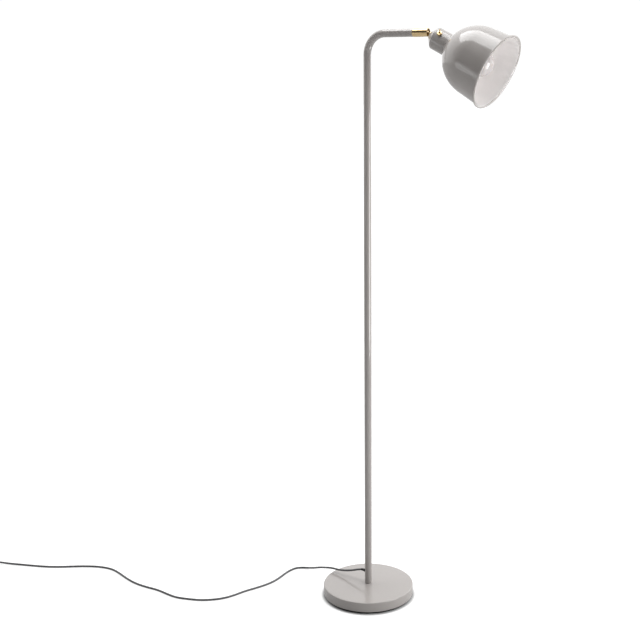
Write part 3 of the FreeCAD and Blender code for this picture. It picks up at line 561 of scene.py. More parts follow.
def lathe(
    name: str, outline: Outline, place: Matrix, segments: int = 96, sharp: float = SHARP
) -> bpy.types.Mesh:
    """Turn a closed outline of (radius, height) round Z.

    Args:
        name: The mesh's name.
        outline: Points in millimetres.
        place: Placement of the frame it is drawn in.
        segments: Steps round the axis.
        sharp: Angle in degrees past which an edge stays sharp.

    Returns:
        The closed mesh.
    """
    form = bmesh.new()
    rings = []
    for k in range(segments):
        angle = 2 * math.pi * k / segments
        c, s = math.cos(angle), math.sin(angle)
        rings.append([form.verts.new((r * c, r * s, h)) for r, h in outline])
    count = len(outline)
    for k in range(segments):
        near, far = rings[k], rings[(k + 1) % segments]
        for i in range(count):
            j = (i + 1) % count
            if max(outline[i][0], outline[j][0]) > NOTHING:
                form.faces.new((near[i], near[j], far[j], far[i]))
    return finished_mesh(form, name, place, sharp)


def box(name: str, low: Sequence[float], high: Sequence[float], place: Matrix) -> bpy.types.Mesh:
    """A plain block between two corners, for carving.

    Args:
        name: The mesh's name.
        low: Lowest corner in millimetres.
        high: Highest corner.
        place: Placement of its frame.

    Returns:
        The mesh.
    """
    corners = [(low[0], low[1]), (high[0], low[1]), (high[0], high[1]), (low[0], high[1])]
    form = bmesh.new()
    bottom = form.faces.new([form.verts.new((x, y, low[2])) for x, y in corners])
    top = bmesh.ops.extrude_face_region(form, geom=[bottom])["geom"]
    verts = [v for v in top if isinstance(v, bmesh.types.BMVert)]
    bmesh.ops.translate(form, verts=verts, vec=(0, 0, high[2] - low[2]))
    return finished_mesh(form, name, place, SHARP)


def carve(mesh: bpy.types.Mesh, *cutters: bpy.types.Mesh) -> bpy.types.Mesh:
    """Cut shapes out of a mesh.

    Args:
        mesh: The mesh to cut.
        cutters: What to take away.

    Returns:
        The cut mesh.
    """
    for cutter in cutters:
        body = bpy.data.objects.new("carved", mesh)
        tool = bpy.data.objects.new("cutter", cutter)
        for item in (body, tool):
            bpy.context.scene.collection.objects.link(item)
        cut = body.modifiers.new("cut", "BOOLEAN")
        cut.operation, cut.solver, cut.object = "DIFFERENCE", "EXACT", tool
        evaluated = body.evaluated_get(bpy.context.evaluated_depsgraph_get())
        mesh = bpy.data.meshes.new_from_object(evaluated)
        for item in (body, tool):
            bpy.data.objects.remove(item)
    mesh.set_sharp_from_angle(angle=math.radians(SHARP))
    return mesh


def coated(mesh: bpy.types.Mesh, look: bpy.types.Material) -> bpy.types.Mesh:
    """The same mesh with one more material."""
    mesh.materials.append(look)
    return mesh


def joined(*meshes: bpy.types.Mesh) -> bpy.types.Mesh:
    """Put several meshes into one, with their looks.

    Args:
        meshes: The meshes, already in their places.

    Returns:
        One mesh.
    """
    looks: list[bpy.types.Material] = []
    form = bmesh.new()
    for mesh in meshes:
        first = len(form.faces)
        form.from_mesh(mesh)
        form.faces.ensure_lookup_table()
        for face in form.faces[first:]:
            look = mesh.materials[face.material_index] if mesh.materials else None
            if look not in looks:
                looks.append(look)
            face.material_index = looks.index(look)
    result = bpy.data.meshes.new(meshes[0].name)
    form.to_mesh(result)
    form.free()
    for look in looks:
        result.materials.append(look)
    return result


def dressed(
    mesh: bpy.types.Mesh,
    name: str,
    body: Body,
    look: bpy.types.Material | None,
    node: str,
) -> bpy.types.Object:
    """Make a mesh a finished piece on its body.

    Args:
        mesh: The mesh, in its place.
        name: The piece's name.
        body: The body it rides on.
        look: Its material; None keeps those of the mesh.
        node: The CAD node that it stands for.

    Returns:
        The piece.
    """
    if look:
        mesh.materials.clear()
        mesh.materials.append(look)
    piece = bpy.data.objects.new(name, mesh)
    bpy.context.scene.collection.objects.link(piece)
    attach(piece, body.value)
    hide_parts(node)
    log.info("%s rides on %s with %d faces", name, body.value, len(mesh.polygons))
    return piece


# ---------------------------------------------------------------------------------------------
# Geometry Nodes for what repeats.
class Pattern(Tree):
    """A Geometry Nodes tree with named inputs that ends in a plain mesh."""

    def __init__(self, name: str, sizes: dict[str, float | int]) -> None:
        """Start a tree.

        Args:
            name: The tree's name.
            sizes: Named inputs with their values; whole numbers make counts.
        """
        super().__init__(bpy.data.node_groups.new(name, "GeometryNodeTree"))
        self.sizes = sizes
        self.keys: dict[str, str] = {}
        for word, size in sizes.items():
            kind = "NodeSocketInt" if isinstance(size, int) else "NodeSocketFloat"
            socket = self.group.interface.new_socket(word, in_out="INPUT", socket_type=kind)
            self.keys[word] = socket.identifier
        self.group.interface.new_socket("Mesh", in_out="OUTPUT", socket_type="NodeSocketGeometry")
        self.entry = self.group.nodes.new("NodeGroupInput")

    def size(self, word: str) -> Wire:
        """One of the named inputs."""
        return Wire(self, self.entry.outputs[word])

    def vector(self, x: object = 0.0, y: object = 0.0, z: object = 0.0) -> Wire:
        """A vector from three values or wires."""
        return self.node("ShaderNodeCombineXYZ", None, {0: x, 1: y, 2: z})

    def grown(self, shape: Wire, look: bpy.types.Material, place: Matrix) -> bpy.types.Mesh:
        """Close the tree and turn its result into a mesh.

        Args:
            shape: The geometry to give out.
            look: The material that the tree sets.
            place: From the tree's millimetres to metres.

        Returns:
            The mesh in its place.
        """
        real = self.node("GeometryNodeRealizeInstances", None, {0: shape})
        smooth = self.node("GeometryNodeSetShadeSmooth", None, {0: real})
        finished = self.node("GeometryNodeSetMaterial", None, {0: smooth, "Material": look})
        self.node("NodeGroupOutput", None, {0: finished}, None)
        holder = bpy.data.objects.new(self.group.name, bpy.data.meshes.new(self.group.name))
        bpy.context.scene.collection.objects.link(holder)
        grower = holder.modifiers.new("grow", "NODES")
        grower.node_group = self.group
        for word, size in self.sizes.items():
            grower[self.keys[word]] = size
        evaluated = holder.evaluated_get(bpy.context.evaluated_depsgraph_get())
        mesh = bpy.data.meshes.new_from_object(evaluated)
        holder.modifiers.remove(grower)
        bpy.data.objects.remove(holder)
        mesh.transform(place)
        return mesh


def screw_thread(
    radius: float,
    pitch: float,
    low: float,
    high: float,
    ridge: float,
    look: bpy.types.Material,
    place: Matrix,
) -> bpy.types.Mesh:
    """A raised screw thread on a round shank.

    Args:
        radius: The shank's radius.
        pitch: Rise for each turn.
        low: Height where it starts.
        high: Height where it ends.
        ridge: Radius of the ridge's section.
        look: Its material.
        place: Placement of the shank's frame.

    Returns:
        The thread's mesh.
    """
    sizes = {"Turns": (high - low) / pitch, "Radius": radius, "Height": high - low, "Ridge": ridge}
    tree = Pattern("screw_thread", sizes)
    inputs = {
        "Resolution": 48,
        "Rotations": tree.size("Turns"),
        "Start Radius": tree.size("Radius"),
        "End Radius": tree.size("Radius"),
        "Height": tree.size("Height"),
    }
    spiral = tree.node("GeometryNodeCurveSpiral", None, inputs)
    section = {"Resolution": 6, "Radius": tree.size("Ridge")}
    ring = tree.node("GeometryNodeCurvePrimitiveCircle", {"mode": "RADIUS"}, section)
    values = {"Curve": spiral, "Profile Curve": ring, "Fill Caps": True}
    thread = tree.node("GeometryNodeCurveToMesh", None, values)
    shift = {"Geometry": thread, "Translation": Vector((0, 0, low))}
    return tree.grown(tree.node("GeometryNodeTransform", None, shift), look, place)


def ribs_around(
    count: int,
    radius: float,
    rib: float,
    low: float,
    high: float,
    look: bpy.types.Material,
    place: Matrix,
) -> bpy.types.Mesh:
    """Round grip ribs side by side round an axis.

    Args:
        count: How many.
        radius: Distance of their middles from the axis.
        rib: Radius of a rib.
        low: Height where they start.
        high: Height where they end.
        look: Their material.
        place: Placement of the axis's frame.

    Returns:
        The ribs' mesh.
    """
    sizes = {"Count": count, "Radius": radius, "Rib": rib, "Length": high - low}
    tree = Pattern("grip_ribs", sizes)
    values = {"Vertices": tree.size("Count"), "Radius": tree.size("Radius")}
    circle = tree.node("GeometryNodeMeshCircle", None, values)
    values = {"Vertices": 10, "Radius": tree.size("Rib"), "Depth": tree.size("Length")}
    bar = tree.node("GeometryNodeMeshCylinder", None, values)
    many = tree.node("GeometryNodeInstanceOnPoints", None, {"Points": circle, "Instance": bar})
    shift = {"Geometry": many, "Translation": Vector((0, 0, (low + high) / 2))}
    return tree.grown(tree.node("GeometryNodeTransform", None, shift), look, place)


def rings_along(
    count: int,
    radius: float,
    taper: float,
    bead: float,
    start: float,
    step: float,
    look: bpy.types.Material,
    place: Matrix,
) -> bpy.types.Mesh:
    """Raised rings one behind the other along an axis, each smaller or larger than the last.

    Args:
        count: How many.
        radius: Radius of the first ring.
        taper: What each next ring adds to the radius.
        bead: Radius of a ring's section.
        start: Height of the first ring.
        step: Height from one to the next.
        look: Their material.
        place: Placement of the axis's frame.

    Returns:
        The rings' mesh.
    """
    sizes = {
        "Count": count, "Radius": radius, "Taper": taper, "Bead": bead, "Start": start, "Step": step
    }
    tree = Pattern("raised_rings", sizes)
    inputs = {
        "Count": tree.size("Count"),
        "Start Location": tree.vector(z=tree.size("Start")),
        "Offset": tree.vector(z=tree.size("Step")),
    }
    line = tree.node("GeometryNodeMeshLine", {"mode": "OFFSET"}, inputs)
    round_curve, by_radius = "GeometryNodeCurvePrimitiveCircle", {"mode": "RADIUS"}
    circle = tree.node(round_curve, by_radius, {"Resolution": 48, "Radius": 1.0})
    wide = tree.size("Radius") + tree.node("GeometryNodeInputIndex") * tree.size("Taper")
    section = tree.node(round_curve, by_radius, {"Resolution": 8, "Radius": tree.size("Bead")})
    values = {"Points": line, "Instance": circle, "Scale": tree.vector(wide, wide, 1.0)}
    many = tree.node("GeometryNodeInstanceOnPoints", None, values)
    loose = tree.node("GeometryNodeRealizeInstances", None, {0: many})
    values = {"Curve": loose, "Profile Curve": section}
    return tree.grown(tree.node("GeometryNodeCurveToMesh", None, values), look, place)


# ---------------------------------------------------------------------------------------------
# Places of the sub-assemblies, as in the solids.
def turned(degrees: float, axis: str) -> Matrix:
    """Rotation about one of the axes."""
    return Matrix.Rotation(math.radians(degrees), 3, axis)


def framed(origin: Sequence[float], turn: Matrix) -> Matrix:
    """A placement from millimetres.

    Args:
        origin: Where the frame's origin is, in millimetres.
        turn: Its rotation.

    Returns:
        From the frame's millimetres to metres.
    """
    return Matrix.Translation(Vector(origin) * MM) @ turn.to_4x4() @ Matrix.Scale(MM, 4)


ARM_HEIGHT = 1491.0
PIVOT_REACH = 162.5
SHADE_DROP = 26.0
CORD_HEIGHT = 66.0
SWITCH_REACH = 46.0
SWITCH_ROUND = -130.0
UPRIGHT = framed((0, 0, 0), Matrix.Identity(3))
CORD_EXIT = framed((0, 0, CORD_HEIGHT), turned(-90, "Y"))
ALONG_ARM = framed((0, 0, ARM_HEIGHT), turned(90, "Y"))
ACROSS_ARM = framed((PIVOT_REACH, 0, ARM_HEIGHT), turned(90, "X"))
HEAD = framed((PIVOT_REACH, 0, ARM_HEIGHT), turned(90 + SHADE_DROP, "Y"))
HEAD_AXIS = Vector((math.cos(math.radians(SHADE_DROP)), 0, -math.sin(math.radians(SHADE_DROP))))


class Finishes:
    """Every finish of the lamp, built once."""

    def __init__(self) -> None:
        """Build the materials."""
        grey = tone(164, 159, 156)
        brass = (0.70, 0.52, 0.28)
        self.paint = Enamel("warm_grey_enamel", grey).material()
        self.base_paint = Enamel("warm_grey_enamel_base", grey, 0.22, 0.3).material()
        self.white = Enamel("white_enamel", tone(247, 244, 243), 0.26, 0.2).material()
        self.arm_brass = TurnedMetal("turned_brass_sleeve", brass, Vector((1, 0, 0))).material()
        self.head_brass = TurnedMetal("turned_brass_joint", brass, HEAD_AXIS).material()
        outward = ToggleSwitch.outward()
        self.switch_brass = TurnedMetal("turned_brass_switch", brass, outward, 0.14).material()
        self.rubber = Moulded("foot_rubber", tone(12, 12, 12), 0.6, 900.0, 4e-5).material()
        self.black = Moulded("black_moulding", tone(24, 24, 25), 0.4).material()
        self.holder = Moulded("holder_moulding", tone(228, 226, 220), 0.35).material()
        self.iron = CastIron("sand_cast_iron", tone(70, 70, 72)).material()
        self.zinc = ZincPlate("zinc_plate", tone(186, 187, 190)).material()
        self.cap = TurnedMetal("bulb_cap_metal", (0.72, 0.72, 0.73), HEAD_AXIS, 0.28).material()
        self.opal = OpalGlass("opal_glass", tone(186, 181, 180)).material()
        self.flex = FlexJacket("flex_jacket", tone(80, 80, 82)).material()


# ---------------------------------------------------------------------------------------------
@dataclass
class Stand:
    """Weighted base, upright tube and the bent tube that becomes the arm."""

    finishes: Finishes
    base_radius: float = 122.0
    base_top: float = 32.0
    edge_round: float = 3.0
    wall: float = 1.2
    foot_height: float = 6.0
    foot_radius: float = 117.0
    foot_rim: float = 14.0
    foot_web: float = 2.0
    stud_hole: float = 5.3
    tube: float = 9.5
    tube_wall: float = 1.3
    seam: float = 1353.0
    bend: float = 50.0
    arm_end: float = 130.0
    cord_hole: float = 3.6

    def build(self) -> None:
        """Make the stand's pieces."""
        self.cover()
        self.foot()
        self.upright()
        self.neck()
        self.inside()

    def cover(self) -> None:
        """Pressed cover with a softly rounded top edge and an open underside."""
        radius, top, wall, soft = self.base_radius, self.base_top, self.wall, self.edge_round
        outline = rounded(
            [
                (self.stud_hole, top),
                (self.stud_hole, top - wall),
                (radius - wall, top - wall, soft - wall),
                (radius - wall, self.foot_height + 0.4, 0.3),
                (radius, self.foot_height, 0.4),
                (radius, top, soft),
            ],
            10,
        )
        mesh = lathe("base_cover_dressed", outline, UPRIGHT, 192, 30.0)
        dressed(mesh, mesh.name, Body.STAND, self.finishes.base_paint, "base_cover")

    def foot(self) -> None:
        """Rubber foot pad with a rounded lower lip and a shallow groove round its rim."""
        radius, high = self.foot_radius, self.foot_height
        outline = rounded(
            [
                (0, 0),
                (radius, 0, 1.2),
                (radius, high * 0.42, 0.3),
                (radius - 0.6, high * 0.5, 0.2),
                (radius - 0.6, high * 0.62, 0.2),
                (radius, high * 0.7, 0.3),
                (radius, high),
                (radius - self.foot_rim, high),
                (radius - self.foot_rim, self.foot_web, 1.0),
                (0, self.foot_web),
            ]
        )
        mesh = lathe("foot_pad_dressed", outline, UPRIGHT, 160)
        dressed(mesh, mesh.name, Body.STAND, self.finishes.rubber, "foot_pad")

    def upright(self) -> None:
        """Upright tube with its seam bevel and the cord's hole."""
        inner = self.tube - self.tube_wall
        outline = rounded(
            [
                (inner, self.base_top),
                (self.tube, self.base_top, 0.3),
                (self.tube, self.seam, 0.6),
                (inner, self.seam),
            ]
        )
        mesh = lathe("upright_tube", outline, UPRIGHT, 96)
        drill = [(0, 4), (self.cord_hole, 4), (self.cord_hole, 14), (0, 14)]
        mesh = carve(mesh, lathe("hole", drill, CORD_EXIT, 32))
        dressed(mesh, mesh.name, Body.STAND, self.finishes.paint, "lower_tube")

    def neck(self) -> None:
        """Upper tube: a short rise, the bend and the level arm, with a bevel at the seam."""
        low = ARM_HEIGHT - self.bend
        stations: list[tuple[Vector, Vector]] = []
        for z in (self.seam, self.seam + 0.5, self.seam + 30, low - 20):
            stations.append((Vector((0, 0, z)), Vector((0, 0, 1))))
        steps, segments = 32, 96
        for k in range(steps + 1):
            angle = math.pi / 2 * k / steps
            centre = Vector((self.bend, 0, low))
            out = Vector((-math.cos(angle), 0, math.sin(angle)))
            stations.append((centre + out * self.bend, Vector((out.z, 0, -out.x))))
        for x in (self.bend + 20, self.arm_end - 0.4, self.arm_end):
            stations.append((Vector((x, 0, ARM_HEIGHT)), Vector((1, 0, 0))))
        form = bmesh.new()
        rings = []
        wall = [self.tube] * len(stations) + [self.tube - self.tube_wall] * len(stations)
        wall[0] -= 0.5
        wall[len(stations) - 1] -= 0.3
        for radius, (middle, ahead) in zip(wall, stations + stations[::-1]):
            side, up = Vector((0, 1, 0)), ahead.cross(Vector((0, 1, 0)))
            turns = [2 * math.pi * k / segments for k in range(segments)]
            ring = [middle + (side * math.cos(t) + up * math.sin(t)) * radius for t in turns]
            rings.append([form.verts.new(p) for p in ring])
        skin(form, rings + rings[:1])
        mesh = finished_mesh(form, "bent_tube_dressed", UPRIGHT, 35.0)
        dressed(mesh, mesh.name, Body.STAND, self.finishes.paint, "bent_tube")

    def inside(self) -> None:
        """Give the hidden fixings of the base and tubes their own finishes."""
        looks = self.finishes
        wear = {
            "base_weight": looks.iron,
            "base_stud": looks.zinc,
            "base_washer": looks.zinc,
            "base_nut": looks.zinc,
            "foot_insert": looks.zinc,
            "tube_coupler": looks.zinc,
            "inner_cable": looks.flex,
            "swivel_spigot": looks.arm_brass,
            "swivel_nut": looks.arm_brass,
        }
        for node, look in wear.items():
            redress(node, look)


def redress(node: str, look: bpy.types.Material) -> None:
    """Give a CAD node a better material.

    Args:
        node: The node's name.
        look: Its material.
    """
    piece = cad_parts[node]
    if not piece.material_slots:
        piece.data.materials.append(look)
    for slot in piece.material_slots:
        slot.material = look
    log.info("%s keeps its solid", node)


# ---------------------------------------------------------------------------------------------
@dataclass
class Knuckle:
    """Brass sleeve on the arm's end, its cross pin, and the tongue that carries the head."""

    finishes: Finishes
    back: float = 130.3
    front: float = 170.7
    radius: float = 10.0
    wall: float = 1.4
    spigot: float = 6.05
    back_wall: float = 5.0
    slot_half: float = 3.4
    slot_start: float = 157.2
    pin: float = 2.5
    pin_play: float = 0.05

    def build(self) -> None:
        """Make the joint's pieces."""
        self.sleeve()
        self.cross_pin()
        self.tongue()
        redress("pivot_washers", self.finishes.zinc)

    def sleeve(self) -> None:
        """Turned sleeve with a fine groove at its back, slotted below at its front."""
        inner, back, front = self.radius - self.wall, self.back, self.front
        outline = rounded(
            [
                (self.spigot, back),
                (self.radius, back, 0.5),
                (self.radius, back + 2.2, 0.1),
                (self.radius - 0.25, back + 2.5, 0.1),
                (self.radius, back + 2.8, 0.1),
                (self.radius, front, 0.5),
                (inner, front, 0.3),
                (inner, back + self.back_wall),
                (self.spigot, back + self.back_wall),
            ]
        )
        mesh = lathe("joint_sleeve_dressed", outline, ALONG_ARM, 96)
        half = self.slot_half
        slot = box("slot", (1, -half, self.slot_start), (14, half, front + 4), ALONG_ARM)
        reach = self.pin + self.pin_play
        hole = lathe("hole", [(0, -14), (reach, -14), (reach, 14), (0, 14)], ACROSS_ARM, 48)
        mesh = carve(mesh, slot, hole)
        dressed(
            mesh, mesh.name, Body.SWIVEL, self.finishes.arm_brass, "joint_sleeve"
        )

    def cross_pin(self) -> None:
        """Pivot pin with domed ends and a driver slot."""
        end = self.radius - 0.4
        corners = [(0, -end), (self.pin, -end, 0.35), (self.pin, end, 0.35), (0, end)]
        mesh = lathe("pivot_pin_dressed", rounded(corners, 4), ACROSS_ARM, 48)
        mesh = carve(mesh, box("driver", (-3, -0.4, end - 0.7), (3, 0.4, end + 2), ACROSS_ARM))
        dressed(mesh, mesh.name, Body.SWIVEL, self.finishes.arm_brass, "pivot_pin")

    def tongue(self) -> None:
        """Eye and neck keep their solid; the brass gets its turned finish."""
        redress("joint_tongue", self.finishes.head_brass)
        redress("stem_nut", self.finishes.head_brass)


# ---------------------------------------------------------------------------------------------
@dataclass
class Head:
    """Cup, spun shade, lampholder and opal bulb, drawn from the tilt pivot along the shade's axis."""

    finishes: Finishes
    cup_rear: float = 17.5
    cup_rear_radius: float = 12.5
    cup_radius: float = 26.8
    cup_wall: float = 1.2
    stem_hole: float = 5.05
    dome: float = 93.7
    dome_middle: tuple[float, float] = (-10.85, 158.89)
    crown: float = 73.08
    skirt_lean: float = 5.0
    skirt_end: float = 208.6
    shade_wall: float = 1.0
    shade_hole: float = 20.5
    bead: float = 2.4
    bulb_start: float = 14.25
    bulb_length: float = 107.0
    bulb_radius: float = 30.0
    bulb_neck: float = 13.2
    glass_wall: float = 0.8

    def build(self) -> None:
        """Make the head's pieces."""
        self.cup()
        self.shade()
        self.holder()
        self.ring()
        self.bulb()

    def cup(self) -> None:
        """Spun cup: flat rear, sloping shoulder, straight side, and the switch's hole."""
        rear, wall, radius = self.cup_rear, self.cup_wall, self.cup_radius
        shoulder = rear + radius - self.cup_rear_radius
        slant = wall * (math.sqrt(2) - 1)
        outline = rounded(
            [
                (self.stem_hole, rear),
                (self.cup_rear_radius, rear, 2.0),
                (radius, shoulder, 3.0),
                (radius, self.crown),
                (radius - wall, self.crown),
                (radius - wall, shoulder + slant, 2.0),
                (self.cup_rear_radius - slant, rear + wall, 1.0),
                (self.stem_hole, rear + wall),
            ],
            8,
        )
        mesh = lathe("shade_cup_dressed", outline, HEAD, 160)
        drill = [(0, 20), (3.25, 20), (3.25, 32), (0, 32)]
        mesh = carve(mesh, lathe("hole", drill, ToggleSwitch.place(), 40))
        dressed(mesh, mesh.name, Body.HEAD, self.finishes.paint, "shade_cup")

    def shade(self) -> None:
        """Spun shade, grey outside and white inside: dome, flared skirt and a beaded lip."""
        outside = self.shade_flank(0.0, 72)
        inside = self.shade_flank(self.shade_wall, 72)
        brim_radius, brim = outside[-1]
        bead = self.bead
        middle = (brim_radius + 0.9 * bead, brim + 0.8 * bead)
        outside += [(brim_radius + 0.1, brim + 0.5 * bead)] + arc(middle, bead, -150, 90, 22)
        inside += [(inside[-1][0] + 0.2, brim + bead), (middle[0] - 0.75 * bead, brim + 1.4 * bead)]
        hole, crown = self.shade_hole, self.crown
        grey = [(hole, crown + self.shade_wall / 2), (hole, crown)] + outside
        white = [grey[0], (hole, crown + self.shade_wall)] + inside + [grey[-1]]
        outline = grey + white[-2:0:-1]
        mesh = lathe("spun_shade", outline, HEAD, 256, 38.0)
        mesh.materials.append(self.finishes.paint)
        mesh.materials.append(self.finishes.white)
        turned = HEAD.inverted()
        for face in mesh.polygons:
            spot = turned @ face.center
            reach = math.hypot(spot.x, spot.y)
            face.material_index = int(self.is_inside(reach, spot.z, brim_radius, brim))
        dressed(mesh, mesh.name, Body.HEAD, None, "shade")

    def is_inside(self, reach: float, height: float, brim_radius: float, brim: float) -> bool:
        """Whether a place on the shade belongs to its white inside.

        Args:
            reach: Distance from the shade's axis.
            height: Distance from the pivot along the axis.
            brim_radius: Outer radius where the bead starts.
            brim: Height where the bead starts.

        Returns:
            True on the inside and on the bead's inner half.
        """
        if height > brim:
            return reach < brim_radius - self.shade_wall / 2 + 0.2
        half = self.shade_wall / 2
        lean = math.radians(self.skirt_lean)
        across, along = reach - self.dome_middle[0], height - self.dome_middle[1]
        if along > -self.dome * math.sin(lean):
            return across * math.cos(lean) - along * math.sin(lean) < self.dome - half
        return math.hypot(across, along) < self.dome - half and height > self.crown + half

    def shade_flank(self, depth: float, steps: int) -> Outline:
        """The shade's flank from its flat crown to the start of the bead.

        Args:
            depth: How far inside the outer face.
            steps: Segments of the dome's arc.

        Returns:
            Points of (radius, height).
        """
        radius = self.dome - depth
        across, along = self.dome_middle
        start = -math.degrees(math.asin((along - self.crown - depth) / radius))
        points = arc(self.dome_middle, radius, start, -self.skirt_lean, steps)
        last_radius, last = points[-1]
        rise = (self.skirt_end - last) / 6
        lean = math.tan(math.radians(self.skirt_lean))
        return points + [(last_radius + lean * rise * k, last + rise * k) for k in range(1, 7)]

    def holder(self) -> None:
        """Lampholder body with a grooved front, and its metal insides."""
        low = self.crown
        outline = rounded(
            [
                (0, low - 16.2),
                (5.03, low - 16.2),
                (5.03, low - 23),
                (9, low - 23, 0.6),
                (9, low - 17, 0.4),
                (17, low - 17, 1.2),
                (17, low - 3),
                (24, low - 3, 0.4),
                (24, low, 0.2),
                (20.2, low),
                (20.2, low + 19, 0.6),
                (17.6, low + 19, 0.3),
                (17.6, low + 36.2, 0.6),
                (14.4, low + 36.2, 0.4),
                (14.4, low + 13),
                (0, low + 13),
            ],
            4,
        )
        body = coated(lathe("lampholder_dressed", outline, HEAD, 96), self.finishes.holder)
        thread = screw_thread(20.0, 2.0, low + 9.5, low + 18, 0.35, self.finishes.holder, HEAD)
        mesh = joined(body, thread)
        dressed(mesh, "lampholder_dressed", Body.HEAD, None, "lampholder")
        redress("screw_shell", self.finishes.head_brass)
        redress("centre_contact", self.finishes.head_brass)
        redress("switch_body", self.finishes.black)

    def ring(self) -> None:
        """Clamping ring with a flat flange and grip ribs."""
        low = self.crown + self.shade_wall
        outline = rounded(
            [
                (20.4, low),
                (26, low, 0.4),
                (26, low + 2, 0.6),
                (23.2, low + 2.2, 0.3),
                (23.2, low + 8, 0.8),
                (20.4, low + 8, 0.3),
            ],
            4,
        )
        body = coated(lathe("shade_ring_dressed", outline, HEAD, 96), self.finishes.holder)
        ribs = ribs_around(36, 23.0, 0.6, low + 1.6, low + 7.2, self.finishes.holder, HEAD)
        mesh = joined(body, ribs)
        dressed(mesh, "shade_ring_dressed", Body.HEAD, None, "shade_ring")

    def bulb(self) -> None:
        """Opal bulb on a rolled screw cap."""
        tip, radius = self.crown + self.bulb_start, self.bulb_neck
        cone, cap_end = tip + 3.6, tip + 24
        outline = rounded(
            [
                (0, tip),
                (4.5, tip, 0.8),
                (5.2, tip + 0.9, 0.3),
                (12.2, cone, 1.0),
                (12.5, cap_end - 3, 0.5),
                (radius, cap_end - 2, 0.5),
                (radius, cap_end, 0.3),
                (0, cap_end),
            ],
            4,
        )
        cap = coated(lathe("bulb_cap_dressed", outline, HEAD, 72), self.finishes.cap)
        thread = screw_thread(12.35, 3.6, cone + 1.2, cap_end - 4, 0.75, self.finishes.cap, HEAD)
        dressed(joined(cap, thread), "bulb_cap_dressed", Body.HEAD, None, "bulb_cap")
        middle, wall = tip + self.bulb_length - self.bulb_radius, self.glass_wall
        outer = self.glass_outline(radius, self.bulb_radius, cap_end, middle)
        inner = self.glass_outline(radius - wall, self.bulb_radius - wall, cap_end, middle)
        glass = lathe("bulb_glass_dressed", outer + inner[::-1], HEAD, 128, 60.0)
        dressed(glass, glass.name, Body.HEAD, self.finishes.opal, "bulb_glass")

    @staticmethod
    def glass_outline(neck: float, ball: float, low: float, middle: float) -> Outline:
        """Half outline of a bulb's glass from its neck to its tip.

        Args:
            neck: Neck radius.
            ball: Ball radius.
            low: Height where the neck starts.
            middle: Height of the ball's centre.

        Returns:
            Points from the neck up to the axis.
        """
        neck_end = low + 6
        lean = math.atan2(neck_end - middle, neck)
        lean += math.acos(ball / math.hypot(neck, middle - neck_end))
        ball_points = arc((0, middle), ball, math.degrees(lean), 90, 40)
        touch = ball_points[0]
        flank = [
            (neck + (touch[0] - neck) * k / 8, neck_end + (touch[1] - neck_end) * k / 8)
            for k in range(8)
        ]
        flank[0] = (neck, neck_end - 1.5)
        return [(neck, low)] + flank + ball_points


# ---------------------------------------------------------------------------------------------
@dataclass
class ToggleSwitch:
    """Brass toggle switch on the cup's side: threaded bushing, domed nut and lever."""

    finishes: Finishes
    seat: float = 26.85
    front: float = 31.15
    nut_radius: float = 6.2
    shank: float = 3.0
    shank_back: float = 24.4
    shank_front: float = 31.6
    bore: float = 2.4
    bore_back: float = 25.7
    lever_pivot: float = 28.0
    lever_lean: float = 13.0

    @staticmethod
    def place() -> Matrix:
        """The switch's frame: Z outwards from the cup's axis, X back along it."""
        turn = turned(SWITCH_ROUND, "Z") @ turned(90, "Y")
        return HEAD @ Matrix.Translation((0, 0, SWITCH_REACH)) @ turn.to_4x4()

    @staticmethod
    def outward() -> Vector:
        """Unit direction of the switch's own axis."""
        return (ToggleSwitch.place().to_3x3() @ Vector((0, 0, 1))).normalized()

    def build(self) -> None:
        """Make the switch's pieces."""
        self.bushing()
        self.nut()
        self.lever()

    def bushing(self) -> None:
        """Threaded bushing, open at its front for the lever."""
        place, brass = self.place(), self.finishes.switch_brass
        outline = rounded(
            [
                (0, self.shank_back),
                (self.shank, self.shank_back),
                (self.shank, self.shank_front, 0.25),
                (self.bore, self.shank_front, 0.15),
                (self.bore, self.bore_back),
                (0, self.bore_back),
            ]
        )
        body = coated(lathe("switch_bushing_dressed", outline, place, 64), brass)
        low, high = self.shank_back + 0.4, self.shank_front - 0.4
        mesh = joined(body, screw_thread(self.shank, 0.6, low, high, 0.17, brass, place))
        dressed(mesh, "switch_bushing_dressed", Body.HEAD, None, "switch_bushing")

    def nut(self) -> None:
        """Round dress nut with a domed front."""
        bore, wide = self.shank + 0.23, self.nut_radius
        corners = [(bore, self.seat), (wide, self.seat, 0.2), (wide, self.front, 2.0)]
        outline = rounded(corners + [(bore, self.front, 0.2)], 8)
        mesh = lathe("switch_nut_dressed", outline, self.place(), 96)
        look = self.finishes.switch_brass
        dressed(mesh, mesh.name, Body.HEAD, look, "switch_nut")

    def lever(self) -> None:
        """Ball-footed lever with a rounded tip, leaning to its off side."""
        tilt = Matrix.Rotation(math.radians(self.lever_lean), 4, "X")
        place = self.place() @ Matrix.Translation((0, 0, self.lever_pivot)) @ tilt
        outline = arc((0, 0), 2.0, -90, 56, 12)
        outline += [(1.15, 3.0), (1.3, 7.0), (1.5, 10.8)] + arc((0, 11.5), 1.5, 0, 90, 8)
        mesh = lathe("toggle_lever_dressed", outline, place, 48)
        look = self.finishes.switch_brass
        dressed(mesh, mesh.name, Body.TOGGLE, look, "toggle_lever")


